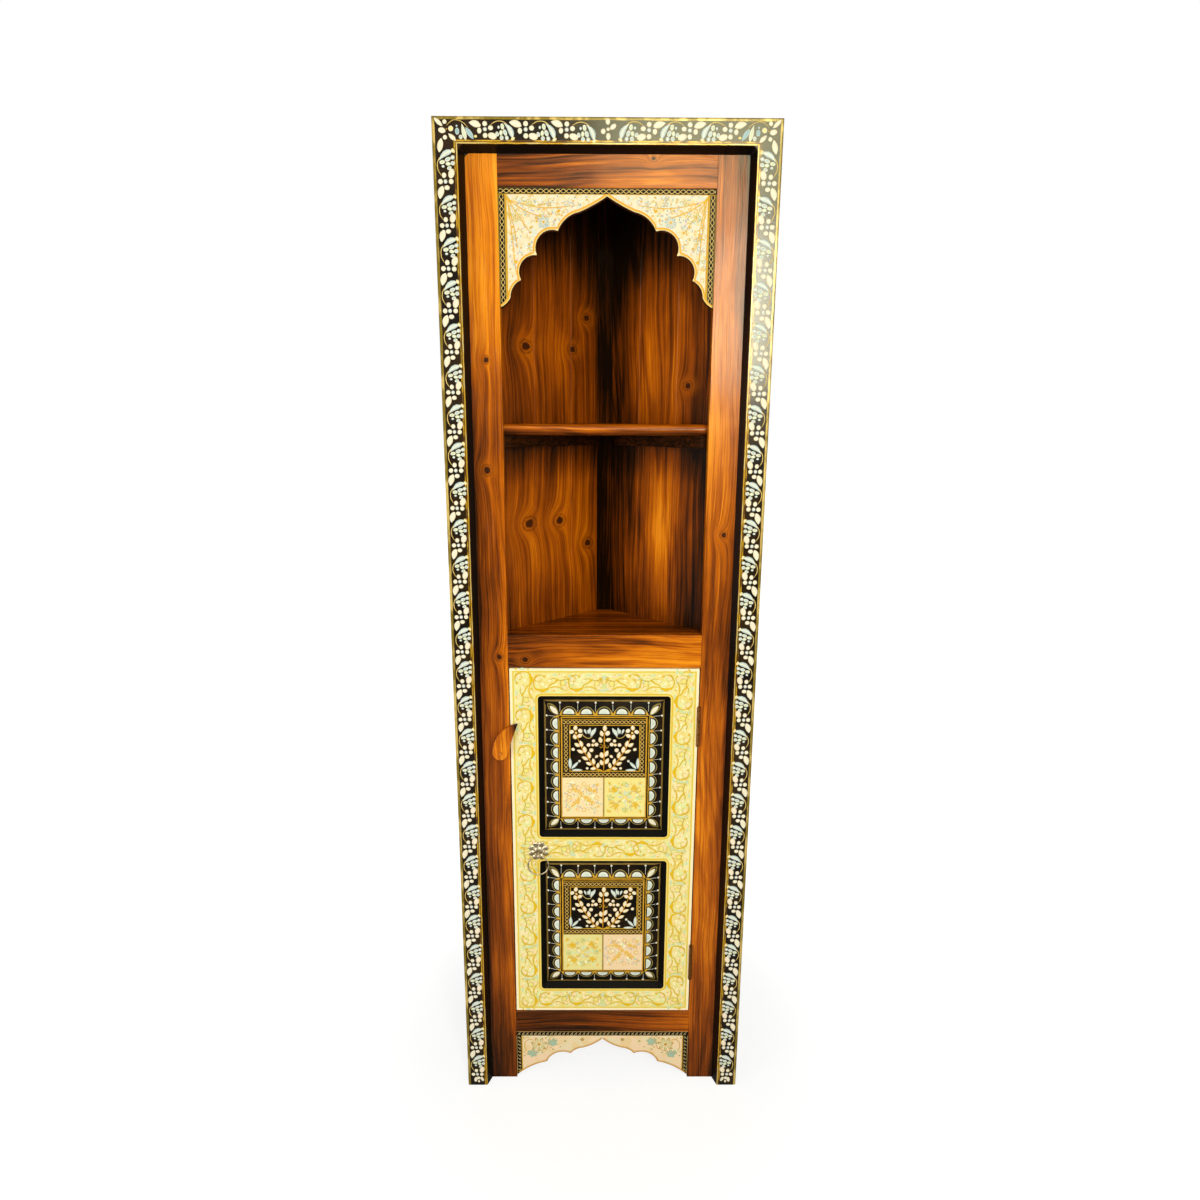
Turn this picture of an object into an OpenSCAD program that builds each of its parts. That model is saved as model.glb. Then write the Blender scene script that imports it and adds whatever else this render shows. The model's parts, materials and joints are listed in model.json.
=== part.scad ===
// Hand-painted corner cabinet: an open niche with a cusped arch over a cupboard with a panelled door.
// Lengths are millimetres, +Z is up and the front looks along -Y.

/* [Overall] */
// Width over the painted border
cabinet_w = 560; // [480:5:700]
// Height over the painted border
cabinet_h = 1830; // [1750:5:2000]

/* [Painted border] */
// Width of the flat face of the border boards
border_face_w = 40; // [30:1:60]
// Width of the bevel inside the border
border_bevel_w = 8; // [5:0.5:14]
// How far the border stands proud of the wood face
border_proud = 22; // [19:0.5:30]
// Corner radius of the bevel where it meets the border's face
border_corner_r = 9.5; // [9:0.5:20]
// Chamfer on the border's outer front edge
border_chamfer = 2; // [0.5:0.5:5]

/* [Face frame] */
// Thickness of the face frame
frame_t = 20; // [18:0.5:28]
// Visible width of a face stile
stile_w = 52; // [48:1:70]
// Visible height of the top rail
top_rail_h = 50; // [35:1:80]
// Height of the rail between niche and door
mid_rail_h = 63; // [45:1:90]
// Height of the rail under the door
bottom_rail_h = 51; // [40:1:80]
// Length of a tenon
tenon_l = 28; // [15:1:40]
// Thickness of a tenon
tenon_t = 7; // [5:0.5:9]
// Shoulder above and below a tenon
tenon_shoulder = 8; // [5:0.5:12]

/* [Arch board and apron] */
// Height of the arch board
arch_h = 186; // [160:1:240]
// Wood left between the tip of the arch and the top rail
arch_crown = 12; // [8:1:30]
// Thickness of the arch board and the apron
fret_t = 16; // [12:0.5:18]
// How far the arch board and the apron lie behind the wood face
fret_setback = 1; // [0:0.5:2]
// Height of the apron's top edge over the floor
apron_top = 112; // [104:1:140]
// Wood left between the tip of the apron's arch and the rail
apron_crown = 18; // [12:1:30]
// Gap between the apron's ends and the floor
apron_foot = 4; // [2:0.5:10]

/* [Carcass] */
// Thickness of the wall planks
wall_t = 15; // [12:0.5:18]
// Distance from the opening's edge out to the wall's inner face
wall_inset = 15; // [8:0.5:18]
// Planks in each wall
plank_count = 3; // [3:1:3]
// Length of the tongue on a plank's edge
tongue_l = 5; // [3:0.5:8]
// Chamfer along each plank joint
plank_chamfer = 1.2; // [0.5:0.1:2.5]
// Face width of the post in the back corner
post_w = 30; // [20:1:44]
// Thickness of the top board
top_board_t = 15; // [10:0.5:20]
// Thickness of the niche floor and the two cupboard boards
board_t = 18; // [12:0.5:24]
// Clearance between a board and what stands round it
board_fit = 0.2; // [0.1:0.05:0.5]
// Thickness of the niche shelf
shelf_t = 20; // [14:1:26]
// Height of the niche shelf's top over the floor
shelf_z = 1354; // [1200:1:1480]
// Gap between the face frame and the niche shelf's front
shelf_setback = 3; // [1:0.5:20]
// Height of the cupboard shelf's top over the floor
inner_shelf_z = 580; // [560:1:660]
// Gap between the closed door and the cupboard shelf's front
inner_shelf_setback = 14; // [10:1:60]
// Thickness of a shelf cleat
cleat_t = 14; // [10:0.5:18]
// Height of a shelf cleat
cleat_h = 22; // [15:1:30]

/* [Door] */
// Height of the door opening
door_open_h = 747; // [700:1:800]
// Gap round the door
door_gap = 2; // [1.5:0.1:3]
// Thickness of the door frame
door_t = 20; // [18:0.5:24]
// Width of a door stile up to its panel opening
door_stile_w = 53; // [46:1:66]
// Height of the door's top rail
door_top_rail_h = 55; // [45:1:70]
// Height of the door's lock rail
door_lock_rail_h = 53; // [48:1:70]
// Height of the door's bottom rail
door_bottom_rail_h = 52; // [42:1:70]
// Width of the bevel round a panel
panel_bevel_w = 10; // [6:0.5:14]
// Depth of the bevel round a panel
panel_bevel_d = 10; // [8:0.5:11]
// Corner radius of a panel opening at the door's face
panel_corner_r = 12; // [11.5:0.5:20]
// Width of the slope from a panel's edge up to its raised field
panel_slope_w = 31; // [20:1:42]
// How far a panel's raised field lies behind the door's face
panel_field_y = 1.5; // [0.5:0.5:4]
// Thickness of a panel's edge in its groove
panel_edge_t = 6; // [4:0.5:7]
// How deep a panel's edge sits in its groove
panel_lap = 7; // [4:0.5:9]

/* [Hinges] */
// Length of a butt hinge
hinge_h = 76; // [60:1:90]
// Distance from the door's end to the middle of the nearer hinge
hinge_inset = 115; // [80:1:160]
// Radius of a hinge knuckle
knuckle_r = 3.5; // [3:0.1:4.5]
// Distance of the hinge axis in front of the door's face
axis_proud = 2; // [1.5:0.1:3]
// Radius of the hinge pin
pin_r = 2; // [1.4:0.1:2.2]
// Thickness of a hinge leaf
leaf_t = 1.5; // [1.2:0.1:2]
// Width of a hinge leaf behind the wood face
leaf_w = 17; // [15:0.5:17.5]
// Radius of a hinge screw's shank
hinge_screw_r = 1.75; // [1.4:0.05:2]
// Length of a hinge screw's shank in the wood
hinge_screw_l = 16; // [10:1:22]

/* [Ring pull] */
// Distance of the pull from the door's free edge
pull_inset = 50; // [30:1:80]
// Height of the pull's rosette over the lock rail's lower edge
pull_rise = 23; // [22:0.5:30]
// Radius over the rosette's petals
rosette_r = 21; // [16:0.5:22]
// Number of petals on the rosette
petal_count = 8; // [6:1:12]
// Thickness of the rosette's petals
petal_t = 2.4; // [1.5:0.1:4]
// Radius of the ring to the middle of its wire
ring_r = 20; // [14:0.5:24]
// Radius of the ring's wire
ring_wire_r = 1.3; // [1:0.1:1.5]
// Radius of the eye to the middle of its wire
eye_r = 4.2; // [4:0.1:5]
// Radius of the eye's wire
eye_wire_r = 1.5; // [1.2:0.1:1.7]

/* [Turn button] */
// Distance of the button's pivot from the opening's edge
button_inset = 18; // [16:0.5:24]
// Distance of the button's pivot under the top of the door opening
button_drop = 168; // [140:1:210]
// Radius of the button's round end
button_r = 14.5; // [12:0.5:16]
// Distance from the pivot to the button's tip
button_l = 67; // [55:1:75]
// Thickness of the button
button_t = 11; // [8:0.5:14]
// Lean of the closed button from upright
button_lean = 31; // [25:1:40]

/* [Hidden] */
$fn = 64;

root2 = sqrt(2);
cut = 1;                 // overshoot of a cut past a face
running = 0.05;          // radial clearance of a pin or screw in its hole
seat = 0.3;              // gap under a piece that turns on a face
glue = 0.01;             // glue line between a wall and the boards it meets
thread_tip = 1;          // room left past a screw's tip
groove_room = 0.5;       // room left at the bottom of a groove
cleat_back = 6;          // gap between a cleat's front end and the face frame
cleat_side = 3;          // gap between a cleat's back end and the corner post
wood = "#9a5a22";
wood_dark = "#6b3d18";
black = "#1a1612";
lime = "#dcd68c";
ivory = "#e6d3b0";
metal = "#b9bcc0";
copper = "#8a5a3c";

border_w = border_face_w + border_bevel_w;
border_half = cabinet_w / 2;
face_half = border_half - border_w;
open_half = face_half - stile_w;
stile_half = border_half - border_face_w;
frame_top = cabinet_h - border_face_w;
top_rail_z = cabinet_h - border_w - top_rail_h;
bottom_rail_z = apron_top;
door_open_z = apron_top + bottom_rail_h;
mid_rail_z = door_open_z + door_open_h;
niche_z = mid_rail_z + mid_rail_h;
arch_z = top_rail_z - arch_h;

corner_y = open_half + wall_inset + frame_t;       // inner corner of the walls, behind the wood face
outer_corner_y = corner_y + wall_t * root2;
depth = border_proud + outer_corner_y;
face_y = border_proud - depth / 2;                 // the wood face in the cabinet's own frame
wall_top = frame_top - top_board_t;
wall_h = wall_top - glue;
wall_l = (corner_y - frame_t - glue) * root2;      // inner face of a wall, corner to face frame
plank_w = wall_l / plank_count;

door_half = open_half - door_gap;
door_z = door_open_z + door_gap;
door_top = mid_rail_z - door_gap;
panel_half = door_half - door_stile_w;
panel_foot = panel_half - panel_bevel_w;
panel_low_z = door_z + door_bottom_rail_h;
panel_high_top = door_top - door_top_rail_h;
panel_h = (panel_high_top - panel_low_z - door_lock_rail_h) / 2;
panel_low_top = panel_low_z + panel_h;
panel_high_z = panel_high_top - panel_h;
panel_back = panel_bevel_d + panel_edge_t;
door_tenon_y = door_t / 2 - tenon_t / 2;

hinge_x = open_half - door_gap / 2;
hinge_zs = [door_z + hinge_inset, door_top - hinge_inset];
knuckle_count = 5;
knuckle_l = hinge_h / knuckle_count;
knuckle_gap = 0.15;      // end play beside each knuckle
notch_r = knuckle_r + 0.5;
pin_head_r = 3;
pin_head_h = 1.6;
hinge_screw_head_r = 3.3;
hinge_screw_y = leaf_w * 0.62;
hinge_screw_step = hinge_h * 0.34;

pull_x = -door_half + pull_inset;
pull_z = panel_low_top + pull_rise;
dome_r = 8;
dome_h = 3.4;
dome_top_r = 4.8;
eye_y = -eye_r - eye_wire_r - dome_h;              // middle of the eye, in front of the door's face
eye_drop = 6;
eye_z = pull_z - eye_drop;
ring_play = 0.35;
ring_top_z = eye_z - eye_r + eye_wire_r + ring_wire_r + ring_play;
nut_t = 3.5;
nut_r = 4;
washer_t = 1;
washer_r = 6;
eye_stem_end = door_t + washer_t + nut_t + 1.5;
petal_r = rosette_r * 0.3;

button_x = -open_half - button_inset;
button_z = mid_rail_z - button_drop;
button_front = -seat - button_t;
button_screw_r = 2.2;
button_screw_head_r = 4.5;
button_screw_head_h = 2;
button_screw_crown_r = 2.7;
button_screw_end = frame_t - 5;

// Points of an arc from p to q whose middle stands off the chord by rise, to the left of p to q.
function arc_points(p, q, rise, steps = 10) =
    let (
        chord = norm(q - p),
        along = (q - p) / chord,
        left = [-along[1], along[0]],
        radius = (chord * chord / 4 + rise * rise) / (2 * abs(rise)),
        centre = (p + q) / 2 + left * (rise - sign(rise) * radius),
        half_angle = 2 * atan(2 * abs(rise) / chord)
    )
    [for (i = [0 : steps])
        let (a = half_angle * (2 * i / steps - 1))
        centre + sign(rise) * radius * (left * cos(a)) + radius * along * sin(a)];

// Half of the niche's cusped arch, from its tip to its foot: x from the middle, height under the top rail.
arch_drop = arch_h - arch_crown;
arch_cusps = [
    [0, -arch_crown],
    [open_half * 0.256, -arch_crown - arch_drop * 0.138],
    [open_half * 0.453, -arch_crown - arch_drop * 0.305],
    [open_half * 0.65, -arch_crown - arch_drop * 0.523],
    [open_half * 0.8, -arch_crown - arch_drop * 0.747],
    [open_half * 0.9, -arch_crown - arch_drop * 0.902],
];
arch_rises = open_half * [-0.007, 0.033, 0.094, 0.081, 0.028];
// Half of the apron's arch, from its tip to its foot: x from the middle, height under the rail.
apron_drop = apron_top - apron_foot - apron_crown;
apron_cusps = [
    [0, -apron_crown],
    [open_half * 0.222, -apron_crown - apron_drop * 0.244],
    [open_half * 0.369, -apron_crown - apron_drop * 0.4],
    [open_half * 0.647, -apron_crown - apron_drop * 0.622],
];
apron_rises = open_half * [-0.014, 0.017, 0.067];

function cusped_half(cusps, rises) =
    [for (i = [0 : len(rises) - 1]) each arc_points(cusps[i], cusps[i + 1], rises[i])];
function tidy(points) =
    [for (i = [0 : len(points) - 1]) if (i == 0 || norm(points[i] - points[i - 1]) > 0.01) points[i]];
function mirrored(points) = [for (i = [len(points) - 1 : -1 : 1]) [-points[i][0], points[i][1]]];

module place() {
    translate([0, face_y, 0]) children();
}

// Lifts an outline drawn in x and z to a board whose front is at y0.
module upright_board(y0, thickness) {
    translate([0, y0 + thickness, 0]) rotate([90, 0, 0]) linear_extrude(thickness) children();
}

// A bar along X with its section drawn in y and z.
module bar_x(length) {
    translate([-length / 2, 0, 0]) rotate([90, 0, 90]) linear_extrude(length) children();
}

module box(low, high) {
    translate(low) cube(high - low);
}

// Opening with rounded corners whose sides slope in by slope over depth, cut from y = 0 backwards.
module bevelled_opening(half_w, z0, z1, slope, depth, corner_r) {
    grow = slope / depth * cut;
    section_x = [[-half_w - grow, -cut], [half_w + grow, -cut], [half_w - slope, depth], [slope - half_w, depth]];
    section_z = [[-cut, z0 - grow], [depth, z0 + slope], [depth, z1 - slope], [-cut, z1 + grow]];
    translate([0, 0, z0 + corner_r]) linear_extrude(z1 - z0 - 2 * corner_r) polygon(section_x);
    bar_x(2 * (half_w - corner_r)) polygon(section_z);
    for (x = [corner_r - half_w, half_w - corner_r], z = [z0 + corner_r, z1 - corner_r])
        translate([x, -cut, z]) rotate([-90, 0, 0])
            cylinder(h = depth + cut, r1 = corner_r + grow, r2 = corner_r - slope);
}

// The border's outer block, chamfered along its front edges.
module border_block() {
    front = -border_proud;
    edge = front + border_chamfer;
    intersection() {
        linear_extrude(cabinet_h)
            polygon([[border_chamfer - border_half, front], [border_half - border_chamfer, front],
                     [border_half, edge], [border_half, frame_t], [-border_half, frame_t], [-border_half, edge]]);
        bar_x(cabinet_w)
            polygon([[front, 0], [frame_t, 0], [frame_t, cabinet_h], [edge, cabinet_h],
                     [front, cabinet_h - border_chamfer]]);
    }
}

module border_ring() {
    difference() {
        border_block();
        translate([0, -border_proud, 0])
            bevelled_opening(stile_half, -2 * border_w, frame_top, border_bevel_w, border_proud, border_corner_r);
        box([-stile_half, 0, -cut], [stile_half, frame_t + cut, frame_top]);
    }
}

// Keeps what lies under the mitre on one side.
module border_side(side) {
    reach = border_half + cut;
    place() intersection() {
        border_ring();
        upright_board(-border_proud - cut, border_proud + frame_t + 2 * cut)
            polygon([[side * reach, -cut], [side * reach, cabinet_h + cut], [0, cabinet_h - border_half], [0, -cut]]);
    }
}

module border_left() {
    color(black) border_side(-1);
}

module border_right() {
    color(black) border_side(1);
}

module border_top() {
    reach = border_half + cut;
    color(black) place() intersection() {
        border_ring();
        upright_board(-border_proud - cut, border_proud + frame_t + 2 * cut)
            polygon([[-reach, cabinet_h + cut], [reach, cabinet_h + cut], [0, cabinet_h - border_half]]);
    }
}

// A rail between x = -half_w and half_w with a tenon at both ends.
module tenoned_rail(half_w, z0, z1, thickness, shoulder_top = tenon_shoulder) {
    tenon_y = (thickness - tenon_t) / 2;
    box([-half_w, 0, z0], [half_w, thickness, z1]);
    box([-half_w - tenon_l, tenon_y, z0 + tenon_shoulder], [half_w + tenon_l, tenon_y + tenon_t, z1 - shoulder_top]);
}

// The mortise for such a tenon, on the side of x > 0.
module mortise(half_w, z0, z1, thickness, shoulder_top = tenon_shoulder) {
    tenon_y = (thickness - tenon_t) / 2;
    box([half_w - cut, tenon_y - running, z0 + tenon_shoulder - running],
        [half_w + tenon_l + cut, tenon_y + tenon_t + running, z1 - shoulder_top + running]);
}

top_tenon_shoulder = tenon_shoulder + border_bevel_w;

module face_stile() {
    difference() {
        box([open_half, 0, 0], [stile_half, frame_t, frame_top]);
        mortise(open_half, top_rail_z, frame_top, frame_t, top_tenon_shoulder);
        mortise(open_half, mid_rail_z, niche_z, frame_t);
        mortise(open_half, bottom_rail_z, door_open_z, frame_t);
    }
}

module face_stile_left() {
    color(wood) place() difference() {
        mirror([1, 0, 0]) face_stile();
        translate([button_x, -cut, button_z]) rotate([-90, 0, 0])
            cylinder(h = button_screw_end + thread_tip + cut, r = button_screw_r + running);
    }
}

module face_stile_right() {
    color(wood) place() difference() {
        face_stile();
        for (z = hinge_zs)
            translate([0, 0, z]) hinge_recess(1);
    }
}

module face_top_rail() {
    color(wood) place() tenoned_rail(open_half, top_rail_z, frame_top, frame_t, top_tenon_shoulder);
}

module face_mid_rail() {
    color(wood) place() tenoned_rail(open_half, mid_rail_z, niche_z, frame_t);
}

module face_bottom_rail() {
    color(wood) place() tenoned_rail(open_half, bottom_rail_z, door_open_z, frame_t);
}

// A fretted board under z = top: the cusped half outline, then a last sweep to its foot.
module cusped_board(half_w, top, foot, cusps, rises, last_rise) {
    half = concat(cusped_half(cusps, rises), arc_points(cusps[len(cusps) - 1], [half_w, foot - top], last_rise));
    right = tidy(half);
    outline = concat([[half_w, 0], [-half_w, 0]], mirrored(right), right);
    upright_board(fret_setback, fret_t)
        translate([0, top]) polygon([for (i = [len(mirrored(right)) + len(right) + 1 : -1 : 0]) outline[i]]);
}

module arch_board() {
    color(ivory) place() cusped_board(open_half, top_rail_z, arch_z, arch_cusps, arch_rises, -open_half * 0.014);
}

module apron() {
    color(ivory) place() cusped_board(open_half, apron_top, apron_foot, apron_cusps, apron_rises, open_half * 0.028);
}

// Turns a plan drawn along a wall (x from the inner corner, y outwards) onto the right or left wall.
module on_wall(side) {
    mirror([side < 0 ? 1 : 0, 0, 0]) translate([0, corner_y, 0]) rotate(-45) children();
}

module wall_outline() {
    polygon([[0, 0], [wall_l, 0], [wall_l + wall_t, wall_t], [-wall_t, wall_t]]);
}

// One plank of a wall, counted from the back corner, with a tongue that fits the next plank's groove.
module wall_plank(side, index) {
    first = index == 0;
    last = index == plank_count - 1;
    start = index * plank_w + (first ? 0 : glue);
    end = (index + 1) * plank_w;
    color(wood_dark) place() on_wall(side) linear_extrude(wall_h) difference() {
        union() {
            intersection() {
                wall_outline();
                translate([first ? -wall_t - cut : start, -cut])
                    square([(last ? wall_l + wall_t + cut : end) - (first ? -wall_t - cut : start), wall_t + 2 * cut]);
            }
            if (!last)
                translate([end - cut, wall_t / 3]) square([tongue_l + cut, wall_t / 3]);
        }
        if (!first)
            translate([start - cut, wall_t / 3 - running])
                square([tongue_l + cut + groove_room, wall_t / 3 + 2 * running]);
        if (!first)
            translate([start, 0]) rotate(45) square(plank_chamfer * root2, center = true);
        if (!last)
            translate([end, 0]) rotate(45) square(plank_chamfer * root2, center = true);
    }
}

module wall_plank_left_back() {
    wall_plank(-1, 0);
}

module wall_plank_left_middle() {
    wall_plank(-1, 1);
}

module wall_plank_left_front() {
    wall_plank(-1, 2);
}

module wall_plank_right_back() {
    wall_plank(1, 0);
}

module wall_plank_right_middle() {
    wall_plank(1, 1);
}

module wall_plank_right_front() {
    wall_plank(1, 2);
}

module corner_post() {
    color(wood_dark) place() linear_extrude(wall_top)
        polygon([[-post_w / 2, corner_y - post_w / 2], [post_w / 2, corner_y - post_w / 2], [0, corner_y]]);
}

module top_board() {
    color(wood_dark) place() translate([0, 0, wall_top]) linear_extrude(top_board_t)
        polygon([[frame_t - outer_corner_y, frame_t], [outer_corner_y - frame_t, frame_t], [0, outer_corner_y]]);
}

// A board that fills the plan behind y0, cut off at the corner post.
module corner_board(y0, z_top, thickness) {
    reach = corner_y - board_fit * root2;
    back = corner_y - post_w / 2 - board_fit;
    translate([0, 0, z_top - thickness]) linear_extrude(thickness)
        polygon([[y0 - reach, y0], [reach - y0, y0], [reach - back, back], [back - reach, back]]);
}

module niche_shelf() {
    front = frame_t + shelf_setback;
    nose = shelf_t / 2;
    color(wood) place() intersection() {
        corner_board(front, shelf_z, shelf_t);
        union() {
            box([-open_half - wall_inset, front + nose, shelf_z - shelf_t - cut],
                [open_half + wall_inset, corner_y, shelf_z + cut]);
            translate([-open_half - wall_inset, front + nose, shelf_z - nose]) rotate([0, 90, 0])
                cylinder(h = 2 * (open_half + wall_inset), r = nose);
        }
    }
}

module niche_floor() {
    color(wood) place() corner_board(frame_t, niche_z, board_t);
}

module cupboard_shelf() {
    color(wood_dark) place() corner_board(door_t + inner_shelf_setback, inner_shelf_z, board_t);
}

module cupboard_floor() {
    color(wood_dark) place() corner_board(frame_t, door_open_z, board_t);
}

// Two strips under a board, one on each wall.
module cleat_pair(z_top) {
    outer = corner_y;
    inner = corner_y - cleat_t * root2;
    y0 = frame_t + cleat_back;
    x0 = post_w / 2 + cleat_side;
    color(wood_dark) place() for (side = [0, 1])
        mirror([side, 0, 0]) translate([0, 0, z_top - cleat_h]) linear_extrude(cleat_h)
            polygon([[outer - y0, y0], [inner - y0, y0], [x0, inner - x0], [x0, outer - x0]]);
}

module niche_shelf_cleats() {
    cleat_pair(shelf_z - shelf_t);
}

module niche_floor_cleats() {
    cleat_pair(niche_z - board_t);
}

module cupboard_shelf_cleats() {
    cleat_pair(inner_shelf_z - board_t);
}

module cupboard_floor_cleats() {
    cleat_pair(door_open_z - board_t);
}

// A block behind the mid rail that the closed door meets.
module door_stop() {
    stop_half = 45;
    stop_t = 12;
    stop_lap = 9;
    color(wood_dark) place()
        box([-stop_half, frame_t, mid_rail_z - stop_lap], [stop_half, frame_t + stop_t, niche_z - board_t]);
}

// Where a hinge sits in the wood: side 1 is the face frame, -1 the door.
module hinge_recess(side) {
    notch_half = hinge_h / 2 + pin_head_h + 1;
    translate([hinge_x, -axis_proud, -notch_half]) cylinder(h = 2 * notch_half, r = notch_r);
    side_box(side, door_gap / 2 - cut, door_gap / 2 + leaf_t, -cut, leaf_w, hinge_h / 2);
    for (z = [-1, 0, 1] * hinge_screw_step)
        translate([hinge_x + side * (door_gap / 2), hinge_screw_y, z]) rotate([0, side * 90, 0])
            cylinder(h = leaf_t + hinge_screw_l + cut, r = hinge_screw_r + running);
}

// A box beside the hinge axis, from a to b away from it in x on one side, between heights -z and z.
module side_box(side, a, b, y0, y1, z) {
    mirror([side < 0 ? 1 : 0, 0, 0])
        box([side * hinge_x + a, y0, -z], [side * hinge_x + b, y1, z]);
}

module hinge_screw(side) {
    translate([hinge_x + side * (door_gap / 2), hinge_screw_y, 0]) rotate([0, side * 90, 0]) {
        cylinder(h = leaf_t, r1 = hinge_screw_head_r, r2 = hinge_screw_r);
        cylinder(h = leaf_t + hinge_screw_l, r = hinge_screw_r);
    }
}

// One leaf of a hinge with the knuckles that belong to it: the frame's are the odd ones.
module hinge_leaf(side) {
    own = side > 0 ? [0, 2, 4] : [1, 3];
    other = side > 0 ? [1, 3] : [0, 2, 4];
    difference() {
        union() {
            side_box(side, door_gap / 2, door_gap / 2 + leaf_t, -axis_proud, leaf_w, hinge_h / 2);
            for (k = own)
                translate([hinge_x, -axis_proud, k * knuckle_l - hinge_h / 2 + knuckle_gap])
                    cylinder(h = knuckle_l - 2 * knuckle_gap, r = knuckle_r);
        }
        for (k = other)
            translate([hinge_x, -axis_proud, k * knuckle_l - hinge_h / 2 - knuckle_gap])
                cylinder(h = knuckle_l + 2 * knuckle_gap, r = knuckle_r + seat);
        translate([hinge_x, -axis_proud, -hinge_h / 2 - cut])
            cylinder(h = hinge_h + 2 * cut, r = pin_r + running);
        for (z = [-1, 0, 1] * hinge_screw_step)
            translate([hinge_x + side * (door_gap / 2), hinge_screw_y, z]) rotate([0, side * 90, 0]) {
                cylinder(h = leaf_t, r1 = hinge_screw_head_r + running, r2 = hinge_screw_r + running);
                cylinder(h = leaf_t + cut, r = hinge_screw_r + running);
                translate([0, 0, -cut]) cylinder(h = cut, r = hinge_screw_head_r + running);
            }
    }
}

module hinge_frame_leaves() {
    color(copper) place() for (z = hinge_zs)
        translate([0, 0, z]) hinge_leaf(1);
}

module hinge_door_leaves() {
    color(copper) place() for (z = hinge_zs)
        translate([0, 0, z]) hinge_leaf(-1);
}

module hinge_pins() {
    color(copper) place() for (z = hinge_zs)
        translate([hinge_x, -axis_proud, z]) {
            cylinder(h = hinge_h, r = pin_r, center = true);
            for (end = [0, 1])
                mirror([0, 0, end]) translate([0, 0, hinge_h / 2]) cylinder(h = pin_head_h, r = pin_head_r);
        }
}

module hinge_frame_screws() {
    color(copper) place() for (z = hinge_zs, step = [-1, 0, 1])
        translate([0, 0, z + step * hinge_screw_step]) hinge_screw(1);
}

module hinge_door_screws() {
    color(copper) place() for (z = hinge_zs, step = [-1, 0, 1])
        translate([0, 0, z + step * hinge_screw_step]) hinge_screw(-1);
}

panel_spans = [[panel_low_z, panel_low_top], [panel_high_z, panel_high_top]];
rail_spans = [[door_z, panel_low_z], [panel_low_top, panel_high_z], [panel_high_top, door_top]];

// The whole door frame before it is divided into stiles and rails.
module door_frame() {
    groove = panel_lap + groove_room;
    difference() {
        box([-door_half, 0, door_z], [door_half, door_t, door_top]);
        for (span = panel_spans) {
            bevelled_opening(panel_half, span[0], span[1], panel_bevel_w, panel_bevel_d, panel_corner_r);
            box([-panel_foot, panel_bevel_d - running, span[0] + panel_bevel_w],
                [panel_foot, door_t + cut, span[1] - panel_bevel_w]);
            box([-panel_foot - groove, panel_bevel_d, span[0] + panel_bevel_w - groove],
                [panel_foot + groove, panel_back + running, span[1] - panel_bevel_w + groove]);
        }
    }
}

// The stile's front outline on the side of x > 0: its bevels are mitred into the rails.
module door_stile_outline() {
    translate([panel_half, door_z]) square([door_stile_w, door_top - door_z]);
    for (span = panel_spans)
        polygon([[panel_half, span[0]], [panel_half, span[1]], [panel_foot, span[1] - panel_bevel_w],
                 [panel_foot, span[0] + panel_bevel_w]]);
}

module door_stile(side) {
    difference() {
        intersection() {
            door_frame();
            mirror([side < 0 ? 1 : 0, 0, 0]) upright_board(-cut, door_t + 2 * cut) door_stile_outline();
        }
        mirror([side < 0 ? 1 : 0, 0, 0]) for (span = rail_spans)
            mortise(panel_half, span[0], span[1], door_t);
    }
}

module door_stile_hinge_side() {
    color(lime) place() difference() {
        door_stile(1);
        for (z = hinge_zs)
            translate([0, 0, z]) hinge_recess(-1);
    }
}

module door_stile_free_side() {
    color(lime) place() difference() {
        door_stile(-1);
        eye_hole();
    }
}

// The hole for the pull's stem, through the stile and the lock rail's tenon.
module eye_hole() {
    translate([pull_x, -cut, eye_z]) rotate([-90, 0, 0])
        cylinder(h = door_t + 2 * cut, r = eye_wire_r + running);
}

module door_rail(span) {
    low = span[0] - (span[0] > door_z ? panel_bevel_w : 0);
    high = span[1] + (span[1] < door_top ? panel_bevel_w : 0);
    intersection() {
        door_frame();
        difference() {
            box([-panel_half, -cut, low], [panel_half, door_t + cut, high]);
            for (side = [0, 1])
                mirror([side, 0, 0]) upright_board(-2 * cut, door_t + 4 * cut) door_stile_outline();
        }
    }
    for (side = [0, 1])
        mirror([side, 0, 0])
            box([panel_half - cut, door_tenon_y, span[0] + tenon_shoulder],
                [panel_half + tenon_l, door_tenon_y + tenon_t, span[1] - tenon_shoulder]);
}

module door_bottom_rail() {
    color(lime) place() door_rail(rail_spans[0]);
}

module door_lock_rail() {
    color(lime) place() difference() {
        door_rail(rail_spans[1]);
        eye_hole();
    }
}

module door_top_rail() {
    color(lime) place() door_rail(rail_spans[2]);
}

// A panel with a thin edge in the frame's groove and slopes up to its raised field.
module fielded_panel(span) {
    foot_z0 = span[0] + panel_bevel_w;
    foot_z1 = span[1] - panel_bevel_w;
    field_half = panel_foot - panel_slope_w;
    box([-panel_foot - panel_lap, panel_bevel_d + running, foot_z0 - panel_lap],
        [panel_foot + panel_lap, panel_back, foot_z1 + panel_lap]);
    intersection() {
        translate([0, 0, foot_z0]) linear_extrude(foot_z1 - foot_z0)
            polygon([[-panel_foot, panel_back], [-panel_foot, panel_bevel_d + running],
                     [-field_half, panel_field_y], [field_half, panel_field_y],
                     [panel_foot, panel_bevel_d + running], [panel_foot, panel_back]]);
        bar_x(2 * panel_foot)
            polygon([[panel_back, foot_z0], [panel_bevel_d + running, foot_z0],
                     [panel_field_y, foot_z0 + panel_slope_w], [panel_field_y, foot_z1 - panel_slope_w],
                     [panel_bevel_d + running, foot_z1], [panel_back, foot_z1]]);
    }
}

module door_panel_upper() {
    color(black) place() fielded_panel(panel_spans[1]);
}

module door_panel_lower() {
    color(black) place() fielded_panel(panel_spans[0]);
}

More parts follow.
